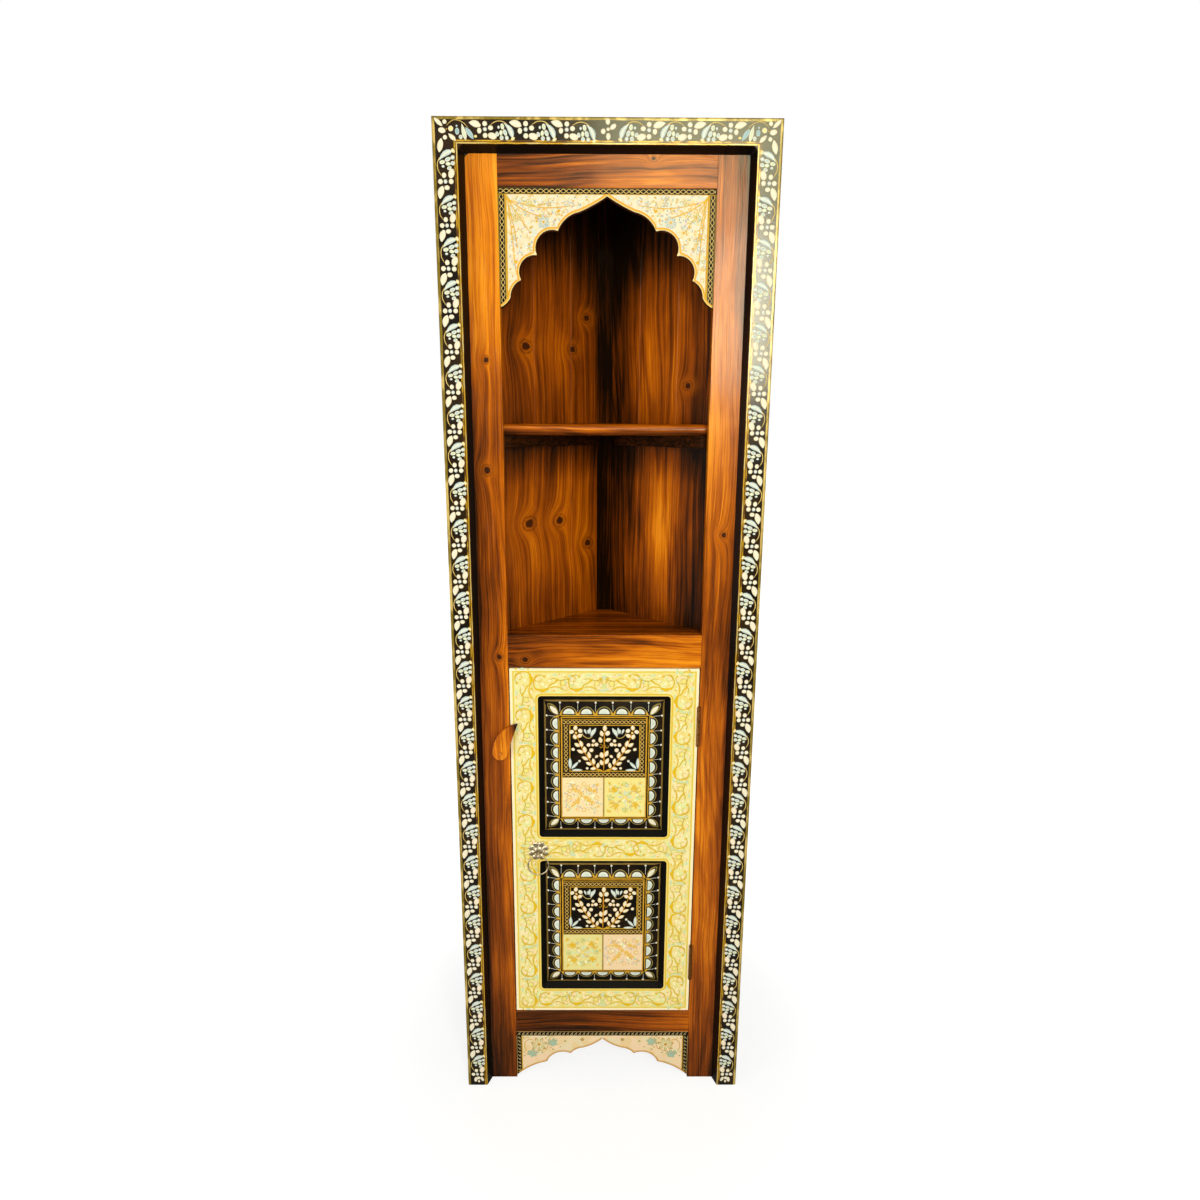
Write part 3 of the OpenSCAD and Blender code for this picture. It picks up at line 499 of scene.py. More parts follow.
class Brushwork:
    """Raised paint strokes, drawn in x and z in millimetres, with their rims sunk into what carries them."""

    def __init__(self, skin=lambda x, z: 0.0):
        self.skin = skin
        self.points, self.faces, self.tones = [], [], []

    def point(self, x, z, rise, tone, gilt):
        self.points.append((x * MM, (self.skin(x, z) - rise) * MM, z * MM))
        self.tones.append((*tone, gilt))
        return len(self.points) - 1

    def bridge(self, one, other, closed=True):
        """Faces between two rows of points."""
        count = len(one)
        for i in range(count if closed else count - 1):
            j = (i + 1) % count
            self.faces.append((one[i], one[j], other[j], other[i]))

    def strip(self, path, widths, tone, heart=None, rise=0.4, gilt=0.0, rim=0.3):
        """A stroke along path, crowned down its middle, where its colour is heart, and darker at its rim."""
        last, edge = None, towards(tone, RIM, rim)
        for i, (x, z) in enumerate(path):
            ahead, behind = path[min(i + 1, len(path) - 1)], path[max(i - 1, 0)]
            dx, dz = ahead[0] - behind[0], ahead[1] - behind[1]
            size = math.hypot(dx, dz) or 1.0
            nx, nz, half = -dz / size, dx / size, widths[i] / 2
            crown = rise * (0.35 + 0.65 * min(1.0, widths[i] / max(widths)))
            row = []
            for share, lift, shade in ((1, SUNK, edge), (0.72, crown * 0.7, tone), (0, crown, heart or tone),
                                       (-0.72, crown * 0.7, tone), (-1, SUNK, edge)):
                row.append(self.point(x + nx * half * share, z + nz * half * share, lift, shade, gilt))
            if last:
                self.bridge(last, row, False)
            last = row

    def line(self, points, width, tone, rise=0.3, gilt=0.6, steps=5, taper=0.35):
        path = through(points, steps) if steps > 1 else points
        count = len(path) - 1
        full = [min(1.0, 5 * min(i, count - i) / count) for i in range(count + 1)]
        widths = [width * (taper + (1 - taper) * share) for share in full]
        self.strip(path, widths, tone, None, rise, gilt)

    def curl(self, x, z, start_r, end_r, start, turn, count, width, tone, rise=0.3, taper=0.35):
        """A spiral round (x, z), angles in degrees."""
        points = []
        for i in range(count + 1):
            t = i / count
            r, a = start_r + (end_r - start_r) * t, math.radians(start + turn * t)
            points.append((x + r * math.cos(a), z + r * math.sin(a)))
        self.line(points, width, tone, rise, steps=1, taper=taper)

    def rule(self, x0, z0, x1, z1, width, tone, gilt=0.6):
        """A long straight line with a little life in it."""
        count = max(2, int(math.hypot(x1 - x0, z1 - z0) / 12))
        path, widths = [], []
        for i in range(count + 1):
            t = i / count
            path.append((x0 + (x1 - x0) * t, z0 + (z1 - z0) * t))
            widths.append(width * (1 + 0.16 * math.sin(i * 2.3 + x0 + z1)))
        self.strip(path, widths, tone, None, 0.25, gilt)

    def frame(self, x0, x1, z0, z1, width, tone, gilt):
        half = width / 2
        for a, b, c, d in ((x0 - half, z0, x1 + half, z0), (x1, z0 - half, x1, z1 + half),
                           (x1 + half, z1, x0 - half, z1), (x0, z1 + half, x0, z0 - half)):
            self.rule(a, b, c, d, width, tone, gilt)

    def petal(self, base, tip, width, tone, heart=None, full=0.6, bend=0.0, rise=0.5, gilt=0.0, steps=8,
              rim=0.45):
        """A drop-shaped petal from base to tip, widest at the share full of its length."""
        dx, dz = tip[0] - base[0], tip[1] - base[1]
        power = math.log(0.5) / math.log(full)
        path, widths = [], []
        for i in range(steps + 1):
            t = (1 - math.cos(math.pi * i / steps)) / 2
            sag = bend * math.sin(math.pi * t)
            path.append((base[0] + dx * t - dz * sag, base[1] + dz * t + dx * sag))
            widths.append(max(0.02, width * math.sin(math.pi * t ** power) ** 0.72))
        self.strip(path, widths, tone, heart, rise, gilt, rim)

    def dab(self, x, z, rx, rz=None, turn=0.0, tone=CREAM, heart=None, rise=0.55, gilt=0.0, count=10, rim=0.45,
            edge=None):
        """An oval dab of thick paint."""
        rz = rz or rx
        co, si = math.cos(math.radians(turn)), math.sin(math.radians(turn))
        rings = []
        for share, lift, shade in ((1.0, SUNK, edge or towards(tone, RIM, rim)), (0.8, 0.7 * rise, tone),
                                   (0.4, rise, heart or tone)):
            ring = []
            for i in range(count):
                a = 2 * math.pi * i / count
                px, pz = rx * share * math.cos(a), rz * share * math.sin(a)
                ring.append(self.point(x + px * co - pz * si, z + px * si + pz * co, lift, shade, gilt))
            rings.append(ring)
        self.bridge(rings[0], rings[1])
        self.bridge(rings[1], rings[2])
        self.faces.append(tuple(rings[-1]))

    def slab(self, x0, x1, z0, z1, tone, rise=0.12):
        """A flat painted field."""
        rows = []
        for inset, lift in ((0, SUNK), (0.3, rise), (0.9, rise)):
            left, right, low, high = x0 + inset, x1 - inset, z0 + inset, z1 - inset
            corners = (left, low), (right, low), (right, high), (left, high)
            rows.append([self.point(x, z, lift, tone, 0) for x, z in corners])
        self.bridge(rows[0], rows[1])
        self.bridge(rows[1], rows[2])
        self.faces.append(tuple(rows[-1]))

    def mesh(self, name, mirrored=False):
        side = -1 if mirrored else 1
        faces = [face[::side] for face in self.faces]
        mesh = bpy.data.meshes.new(name)
        mesh.from_pydata([(x * side, y, z) for x, y, z in self.points], [], faces)
        tones = mesh.attributes.new("tone", "FLOAT_COLOR", "POINT")
        tones.data.foreach_set("color", [value for tone in self.tones for value in tone])
        mesh.shade_smooth()
        return mesh


def laying_tree():
    """Lays a copy of a motif at each point of a carrier mesh, turned as the point's own turn says."""
    tree = bpy.data.node_groups.new("motif laying", "GeometryNodeTree")
    for name, kind in (("Places", "Geometry"), ("Motif", "Object"), ("Uneven turn", "Float"),
                       ("Uneven size", "Float"), ("Seed", "Int"), ("Paint", "Material")):
        tree.interface.new_socket(name, in_out="INPUT", socket_type="NodeSocket" + kind)
    tree.interface.new_socket("Laid", in_out="OUTPUT", socket_type="NodeSocketGeometry")
    g = Graph(tree)
    given = tree.nodes.new("NodeGroupInput")
    socket = {s.name: Signal(g, s) for s in given.outputs}
    motif = g.node("GeometryNodeObjectInfo", {"Object": socket["Motif"]}, out="Geometry")
    turn = g.node("GeometryNodeInputNamedAttribute", {"Name": "turn"}, data_type="FLOAT_VECTOR")
    turned = g.node("FunctionNodeEulerToRotation", {0: turn})
    uneven_turn, uneven_size, seed = socket["Uneven turn"], socket["Uneven size"], socket["Seed"]
    sway = g.node("FunctionNodeRandomValue", {2: uneven_turn * -1.0, 3: uneven_turn, "Seed": seed}, out=1,
                  data_type="FLOAT")
    size = g.node("FunctionNodeRandomValue", {2: 1.0 - uneven_size, 3: 1.0 + uneven_size, "Seed": seed + 7},
                  out=1, data_type="FLOAT")
    laid = g.node("GeometryNodeInstanceOnPoints",
                  {"Points": socket["Places"], "Instance": motif, "Rotation": turned, "Scale": size})
    nudge = g.node("FunctionNodeEulerToRotation", {0: g.node("ShaderNodeCombineXYZ", {1: sway})})
    laid = g.node("GeometryNodeRotateInstances", {"Instances": laid, "Rotation": nudge})
    real = g.node("GeometryNodeRealizeInstances", {0: laid})
    real = g.node("GeometryNodeSetMaterial", {"Geometry": real, "Material": socket["Paint"]})
    end = tree.nodes.new("NodeGroupOutput")
    tree.links.new(real.socket, end.inputs[0])
    return tree


LAYING = laying_tree()
FLOWER_PAINT = raised_paint("raised paint")


def lay(name, motif, places, board, seed, uneven_turn=2.0, uneven_size=0.03):
    """Lays the motif's mesh at each place, a matrix in millimetres, and gives the plain piece."""
    stamp = bpy.data.objects.new("stamp", motif)
    carrier_mesh = bpy.data.meshes.new("carrier")
    carrier_mesh.from_pydata([tuple(p.to_translation() * MM) for p in places], [], [])
    turns = carrier_mesh.attributes.new("turn", "FLOAT_VECTOR", "POINT")
    turns.data.foreach_set("vector", [value for p in places for value in p.to_euler("XYZ")])
    carrier = bpy.data.objects.new("carrier", carrier_mesh)
    for made in (stamp, carrier):
        bpy.context.scene.collection.objects.link(made)
    modifier = carrier.modifiers.new("laying", "NODES")
    modifier.node_group = LAYING
    given = {item.name: item.identifier for item in LAYING.interface.items_tree if item.in_out == "INPUT"}
    modifier[given["Motif"]] = stamp
    modifier[given["Uneven turn"]] = math.radians(uneven_turn)
    modifier[given["Uneven size"]] = uneven_size
    modifier[given["Seed"]] = seed
    modifier[given["Paint"]] = FLOWER_PAINT
    laid = bpy.data.meshes.new_from_object(carrier.evaluated_get(bpy.context.evaluated_depsgraph_get()))
    carrier.modifiers.remove(modifier)
    for made in (stamp, carrier):
        bpy.data.objects.remove(made)
    return piece(name, laid, board, FLOWER_PAINT)


def at(x, y, z, turn=0.0, tilt=0.0):
    """A place for a motif: turned clockwise as seen from the front, then leant back with its surface."""
    return (Matrix.Translation((x, y, z)) @ Matrix.Rotation(math.radians(turn), 4, "Y")
            @ Matrix.Rotation(math.radians(-tilt), 4, "X"))


# Border flowers: a unit is drawn from the middle of the post's face and repeats down it and along the top.
UNIT_PITCH, UNIT_MID = 65.7, 20
UNITS_DOWN, FIRST_UNIT, UNITS_ACROSS = 26, TOP - 93.4, (-193.2, -128.4, -63.4)
UNIT_DABS = ((-9.2, -2, 4.1, 4.1, 0, CREAM, WHITE), (8.1, -2.1, 4.1, 4.1, 0, CREAM, WHITE),
             (-1, -2, 3.3, 3.5, 0, PALE_BLUE, BLUSH), (0.9, -11.2, 4.6, 3.8, 0, CREAM, WHITE),
             (-2.9, 7.2, 3.9, 4.3, 0, CREAM, WHITE), (9.1, 9.6, 5.2, 7.8, -16, CREAM, BLUSH),
             (13.6, 42.8, 2.6, 3.8, 30, BUTTER, CREAM), (-4.6, 26.4, 4.8, 3.2, 10, WHITE, PALE_GREEN),
             (4.4, 30.4, 5.2, 3.3, 22, WHITE, PALE_BLUE), (12.2, 33.0, 3.7, 3.3, 20, PALE_BLUE, WHITE),
             (4.6, 23.8, 4.4, 3.0, -8, PALE_GREEN, WHITE), (12.0, 24.6, 3.6, 3.4, 0, WHITE, PALE_BLUE),
             (6.2, 17.6, 3.9, 2.9, 20, WHITE, PALE_BLUE), (-3.6, 20.2, 2.6, 2.1, 0, PALE_BLUE, WHITE))
FOOT_DABS = ((-4.6, -14.6, 3.6, 6.2, -10, CREAM, WHITE), (8.8, -13.6, 3.3, 6.0, 24, CREAM, WHITE),
             (1.8, -19.4, 2.5, 3.0, 0, CREAM, CREAM))
CORNER_PETALS = (((2.5, 5), (15.4, 17), 6.8, CREAM, WHITE, 0.5, 0.5),
                 ((-6.5, -5.5), (-18, -15.6), 7.2, CREAM, WHITE, 0.55, 0.5),
                 ((4.8, -12), (9.4, -33), 10, CREAM, WHITE, 0.5, 0.5),
                 ((-28, 9.6), (-34, -15), 7.6, WHITE, PALE_GREEN, 0.6, 0.6),
                 ((-34, 3.6), (-46.4, -13.4), 8, PALE_BLUE, BLUE, 0.5, 0.6))
CORNER_DABS = ((3.6, -1, 6.3, 4.4, 12, CREAM, BLUSH), (-1, 11.4, 3.6, 3.6, 0, CREAM, WHITE),
               (-10.6, 1.6, 4.3, 4.3, 0, CREAM, BUTTER), (-1, -11, 3.6, 3.6, 0, CREAM, WHITE),
               (-49.6, -9.4, 2.6, 2.2, 0, BUTTER, BUTTER), (-20.6, -2.2, 3.6, 5.4, 0, PALE_BLUE, BLUE),
               (-26, -10.4, 3.2, 3.6, 0, WHITE, PALE_BLUE), (-20, 5.6, 1.7, 1.7, 0, PALE_BLUE, PALE_BLUE))


def border_unit(leaf):
    b = Brushwork()
    b.line([(-7.2, 6.8), (-11.9, 15.3), (-12.5, 24.2), (-9.4, 31.6), (-2.4, 37.6)], 1.5, PALE_GOLD)
    b.petal((-9.8, 28.6), (13.0, 42.4), 9.4, PALE_BLUE, WHITE, 0.62, 0.13, 0.6)
    if leaf:
        b.petal((-5.6, -8.6), (-11.4, -27.6), 10.8, CREAM, WHITE, 0.46, -0.05, 0.6)
    for row in UNIT_DABS if leaf else UNIT_DABS + FOOT_DABS:
        b.dab(*row)
    return b


def border_flowers():
    unit, foot = border_unit(True), border_unit(False)
    out, sides = HALF_W - UNIT_MID - 0.4, ((-1, "left"), (1, "right"))
    for side, name in sides:
        places = [at(side * out, BORDER_SKIN, FIRST_UNIT - i * UNIT_PITCH) for i in range(UNITS_DOWN + 1)]
        lay(f"border_flowers_{name}", unit.mesh("unit", side > 0), places[:-1], f"border_{name}", 3 + side)
        lay(f"border_foot_{name}", foot.mesh("foot", side > 0), places[-1:], f"border_{name}", 5, 0, 0)
    z = TOP - UNIT_MID
    for side, name in sides:
        lay(f"border_flowers_top_{name}", unit.mesh("unit", side > 0),
            [at(side * -x, BORDER_SKIN, z, -90 * side) for x in UNITS_ACROSS], "border_top", 9 + side)
    b = Brushwork(lambda x, z: BORDER_SKIN)
    for x, dz, rx, rz, turn in ((0, 13, 3.8, 4.9, 0), (-7.4, -1, 3.9, 4.3, 0), (8.4, 5.6, 6, 3.7, 35),
                                (0.7, -8.4, 3.8, 5.4, 0), (0.4, 2, 3, 2.6, 0)):
        b.dab(x, z + dz, rx, rz, turn, CREAM, BLUSH if dz < 3 else WHITE)
    for side in (-1, 1):
        def c(dx, dz):
            """A place from the middle of the corner's flower, dx towards the outer edge."""
            return side * (HALF_W - UNIT_MID) + side * dx, z + dz
        for base, tip, width, tone, heart, full, rise in CORNER_PETALS:
            b.petal(c(*base), c(*tip), width, tone, heart, full, 0, rise)
        for dx, dz, rx, rz, turn, tone, heart in CORNER_DABS:
            b.dab(*c(dx, dz), rx, rz, turn * side, tone, heart)
        b.dab(*c(-4, 1), 1.2, tone=GOLD, gilt=0.6)
        b.line([c(-4, 6), c(-12, 12.8), c(-20.5, 14), c(-30, 10.6), c(-38, 3)], 1.15, PALE_GOLD)
    piece("border_corner_flowers", b.mesh("border corner"), "border_top", FLOWER_PAINT)


def arc(p, q, rise):
    """Points of an arc from p to q that stands off its chord by rise, to the left."""
    chord = math.dist(p, q)
    ax, az = (q[0] - p[0]) / chord, (q[1] - p[1]) / chord
    sign = math.copysign(1, rise)
    radius = (chord * chord / 4 + rise * rise) / (2 * abs(rise))
    cx = (p[0] + q[0]) / 2 - az * (rise - sign * radius)
    cz = (p[1] + q[1]) / 2 + ax * (rise - sign * radius)
    half = 2 * math.atan(2 * abs(rise) / chord)
    steps, points = 10, []
    for i in range(steps + 1):
        a = half * (2 * i / steps - 1)
        points.append((cx + sign * radius * -az * math.cos(a) + radius * ax * math.sin(a),
                       cz + sign * radius * ax * math.cos(a) + radius * az * math.sin(a)))
    return points


# Cusps of each edge, as shares of the half width and of the drop from the tip, and the rise of each arc
# between them over the half width.
ARCH_SHARES = [(0, 0), (0.256, 0.138), (0.453, 0.305), (0.65, 0.523), (0.8, 0.747), (0.9, 0.902), (1, 1)]
ARCH_RISES = [-0.007, 0.033, 0.094, 0.081, 0.028, -0.014]
APRON_SHARES = [(0, 0), (0.222, 0.244), (0.369, 0.4), (0.647, 0.622), (1, 1)]
APRON_RISES = [-0.014, 0.017, 0.067, 0.028]


def cusped_arcs(shares, rises, tip, foot):
    points = [(OPEN_HALF * u, tip - (tip - foot) * v) for u, v in shares]
    return [arc(a, b, rise * OPEN_HALF) for a, b, rise in zip(points, points[1:], rises)]


def inside_line(arcs, inset):
    """The cusped edge moved into the board by inset, each arc cut where it meets the next."""
    moved = []
    for points in arcs:
        line = []
        for i, (x, z) in enumerate(points):
            a, b = points[max(i - 1, 0)], points[min(i + 1, len(points) - 1)]
            size = math.dist(a, b)
            line.append((x - (b[1] - a[1]) / size * inset, z + (b[0] - a[0]) / size * inset))
        moved.append(line)
    for one, two in zip(moved, moved[1:]):
        _, i, j = min(((math.dist(p, q), i, j) for i, p in enumerate(one) for j, q in enumerate(two)))
        one[i:] = two[:j + 1] = [((one[i][0] + two[j][0]) / 2, (one[i][1] + two[j][1]) / 2)]
    return moved


def cusped_edging(b, arcs, bands):
    for inset, width, tone, gilt in bands:
        for line in inside_line(arcs, inset):
            kept = [p for p in line if abs(p[0]) < OPEN_HALF - 0.4]
            for side in (1, -1):
                path = [(x * side, z) for x, z in kept][::side]
                if len(path) > 1:
                    b.strip(path, [width] * len(path), tone, None, 0.25 if gilt else 0.14, gilt)


def braid_unit(pitch, reach, tone, width, gilt=0.0):
    """One period of a two-strand braid."""
    b = Brushwork()
    for way in (-1, 1):
        path = [(pitch * (i / 8 - 0.5), way * reach * math.sin(2 * math.pi * i / 8 + 0.6)) for i in range(9)]
        b.strip(path, [width] * 9, tone, None, 0.3 + 0.08 * way, gilt)
    return b.mesh("braid")


def dash_unit(pitch, reach, tone, width):
    """A slanted double dash."""
    b = Brushwork()
    for share, rise, points in ((1, 0.3, ((-0.42, -0.8), (-0.05, 0.1), (0.3, 0.85))),
                                (0.8, 0.25, ((-0.02, -0.9), (0.22, -0.2)))):
        b.line([(pitch * x, reach * z) for x, z in points], width * share, tone, rise, 0)
    return b.mesh("dash")


def spots(start, end, pitch):
    """Places spread evenly from one end to the other, at about that pitch."""
    count = max(1, round(abs(end - start) / pitch))
    return [start + (end - start) * (i + 0.5) / count for i in range(count)]


def flower(b, x, z, r, petals, tone, heart, eye=GOLD, turn=0.0, width=0.62, rise=0.35):
    for i in range(petals):
        a = math.radians(turn + 360 * i / petals)
        b.petal((x + r * 0.2 * math.cos(a), z + r * 0.2 * math.sin(a)),
                (x + r * math.cos(a), z + r * math.sin(a)), r * width, tone, heart, 0.6, 0, rise, 0, 6)
    b.dab(x, z, r * 0.2, tone=eye, gilt=0.4, rise=rise * 1.2, count=8)


def edge_height(arcs, x):
    """How high the board's cusped edge stands at x from the middle."""
    near = [z for line in arcs for px, z in line if abs(px - abs(x)) < 4]
    return max(near or [min(z for _, z in arcs[-1])])


def arch_garden():
    """Stems, flowers and loose strokes on both halves of the arch board, framed by a braid."""
    b = Brushwork(lambda x, z: FRET_SKIN)
    arcs = cusped_arcs(ARCH_SHARES, ARCH_RISES, ARCH_TOP - 12, ARCH_FOOT)
    cusped_edging(b, arcs, [(0.7, 1.2, BUTTER, 0), (2.6, 3.2, paint("e6a52c"), 0.1)])
    dice = random.Random(11)
    gold, leaf, grey, cool, warm = paints("dcab22 c4b25c a2b6bf ccd5c6 d9d8b0")
    stroke_tones = [*paints("dcaa28 d2a838"), leaf, grey]
    dab_tones = [leaf, grey, *paints("e2bcaa d8a830 a8bab4"), grey, paint("f4eee4")]
    for side in (-1, 1):
        for start, end, bow in (((164, 1714), (52, 1706), 8), ((164, 1712), (152, 1602), -7),
                                ((163, 1713), (128, 1664), 0), ((163, 1714), (98, 1686), 5),
                                ((164, 1713), (148, 1640), -3)):
            path = []
            for i in range(9):
                t = i / 8
                path.append((side * (start[0] + (end[0] - start[0]) * t),
                             start[1] + (end[1] - start[1]) * t - bow * math.sin(math.pi * t)))
            b.line(path, 1.6, gold, taper=0.7)
            for x, z in path[2:7:2]:
                way = dice.choice((-1, 1))
                b.curl(x, z + 3 * way, 3.2, 1.2, -90 * way, 250 * way * side, 8, 0.9, gold)
        b.petal((side * 167, 1720), (side * 158, 1707), 4.4, gold, None, 0.4)
        for x, z, r in ((80, 1697, 3.0), (152, 1618, 3.3), (157, 1672, 2.2), (104, 1700, 2.0),
                        (127, 1664, 2.2), (75, 1690, 1.8), (86, 1684, 2.0), (129, 1646, 2.0),
                        (143, 1640, 1.8), (56, 1712, 1.8)):
            b.dab(side * x, z, r, r * 0.8, 30, gold, gilt=0.2, rim=0.2)
        for x, z, r, count, tone, heart in ((105, 1680, 10.5, 6, grey, cool), (139, 1629, 8, 5, grey, cool),
                                            (148, 1687, 8, 5, leaf, warm), (130, 1710, 6.5, 5, leaf, warm),
                                            (160, 1584, 5.5, 5, grey, leaf), (66, 1708, 5.6, 5, grey, warm),
                                            (121, 1655, 5.6, 5, leaf, warm), (96, 1708, 5, 5, grey, leaf),
                                            (153, 1655, 5.5, 5, grey, leaf)):
            if z - r > edge_height(arcs, x) + 3:
                flower(b, side * x, z, r, count, tone, heart, gold, dice.uniform(0, 60))
        for _ in range(620):
            x, z = dice.uniform(30, 163), dice.uniform(1556, 1719)
            if z < edge_height(arcs, x) + 7:
                continue
            if dice.random() < 0.45:
                turn = dice.uniform(0, 360)
                reach, way = dice.uniform(2.4, 4.6), dice.choice((-1, 1))
                b.curl(side * x, z, reach, 1.3, turn, way * 220, 6, 1.15, dice.choice(stroke_tones), taper=0.8)
            else:
                tone = dice.choice(dab_tones)
                rx, rz, turn = dice.uniform(1.2, 2.9), dice.uniform(0.9, 1.8), dice.uniform(0, 180)
                b.dab(side * x, z, rx, rz, turn, tone, rise=0.2, count=6, rim=0.1)
    trim = OPEN_HALF + 1.5
    b.slab(-trim, trim, ARCH_TOP + 0.6, ARCH_TOP + 3.2, OLIVE)
    b.rule(-trim, ARCH_TOP + 4.2, trim, ARCH_TOP + 4.2, 1.3, PALE_GOLD)
    piece("arch_flowers", b.mesh("arch flowers"), "arch_board", FLOWER_PAINT)
    places = [at(x, FRET_SKIN, ARCH_TOP - 5) for x in spots(-178, 178, 19)]
    for side in (-1, 1):
        places += [at(side * 174, FRET_SKIN, z, 90) for z in spots(1551, 1721, 19)]
    lay("arch_braid", braid_unit(19, 3.0, paint("e0c070"), 1.1), places, "arch_board", 2, 0.0, 0.0)


def apron_garden():
    """Blue-green leaf fans, a pale flower and gold tendrils on both halves of the apron."""
    b = Brushwork(lambda x, z: FRET_SKIN)
    cusped_edging(b, cusped_arcs(APRON_SHARES, APRON_RISES, APRON_TOP - 18, APRON_FOOT),
                  [(1.3, 2.4, paint("c98f3a"), 0.2), (3.6, 0.9, GOLD, 0.3)])
    rim, leaf, heart, dot, brown = paints("b9953c 8fb4a2 a9cdbd a39a52 b08c3e")
    dull, pale, light = paints("b08f34 c2c386 e0dca8")
    for side in (-1, 1):
        for x, z, turn in ((152, 54, 40), (97, 85, 172)):
            lean = turn if side < 0 else 180 - turn
            for spread, long, wide in ((-56, 15, 5.2), (-19, 20, 5.8), (17, 20, 5.8), (52, 15, 5.2),
                                       (96, 9, 4.4), (-96, 9, 4.4)):
                a = math.radians(lean + spread)
                tip = (side * x + long * math.cos(a), z + long * math.sin(a) * 0.8)
                b.petal((side * x, z), tip, wide + 1.3, rim, None, 0.62, 0.1, 0.25, 0, 6, 0.1)
                b.petal((side * x, z), tip, wide, leaf, heart, 0.62, 0.1, 0.38, 0, 6, 0.1)
        flower(b, side * 133, 80, 17.6, 7, dull, None, turn=12, width=0.36)
        flower(b, side * 133, 80, 16.4, 7, pale, light, turn=12, width=0.3, rise=0.42)
        flower(b, side * 42, 92, 4.4, 6, brown, None, BROWN, 0, 0.7, 0.25)
        for width, points in ((1.4, ((140, 88), (153, 92), (162, 84), (162, 70), (155, 60))),
                              (1.4, ((124, 77), (119, 68), (114, 78), (112, 92), (104, 99), (96, 94))),
                              (1.1, ((122, 70), (128, 64), (133, 68), (131, 73)))):
            b.line([(side * x, z) for x, z in points], width, GOLD)
        for x, z, r, end, start, turn, width in ((145, 68, 4.4, 2, 0, 280, 1.1),
                                                 (108, 74, 3.6, 1.6, 90, -280, 1.0),
                                                 (156, 96, 3.4, 1.6, 200, 280, 1.0)):
            b.curl(side * x, z, r, end, start, turn * side, 10, width, GOLD)
        for x, z, r in ((78, 88, 2.4), (165, 96, 1.8), (126, 60, 2.0), (104, 68, 2.0), (163, 52, 1.8),
                        (113, 100, 1.6), (146, 78, 1.7), (118, 96, 1.7), (138, 62, 1.7), (88, 74, 1.6),
                        (164, 62, 1.5)):
            b.dab(side * x, z, r, r * 0.85, tone=dot, gilt=0.2, rise=0.25)
    piece("apron_flowers", b.mesh("apron flowers"), "apron", FLOWER_PAINT)
    places = [at(x, FRET_SKIN, APRON_TOP - 5.7) for x in spots(-178, 178, 8.4)]
    for side in (-1, 1):
        places += [at(side * 174.3, FRET_SKIN, z, 90 * side) for z in spots(13, 101, 8.4)]
    lay("apron_braid", dash_unit(8.4, 3.5, paint("cdb67c"), 1.3), places, "apron", 4, 6.0, 0.08)


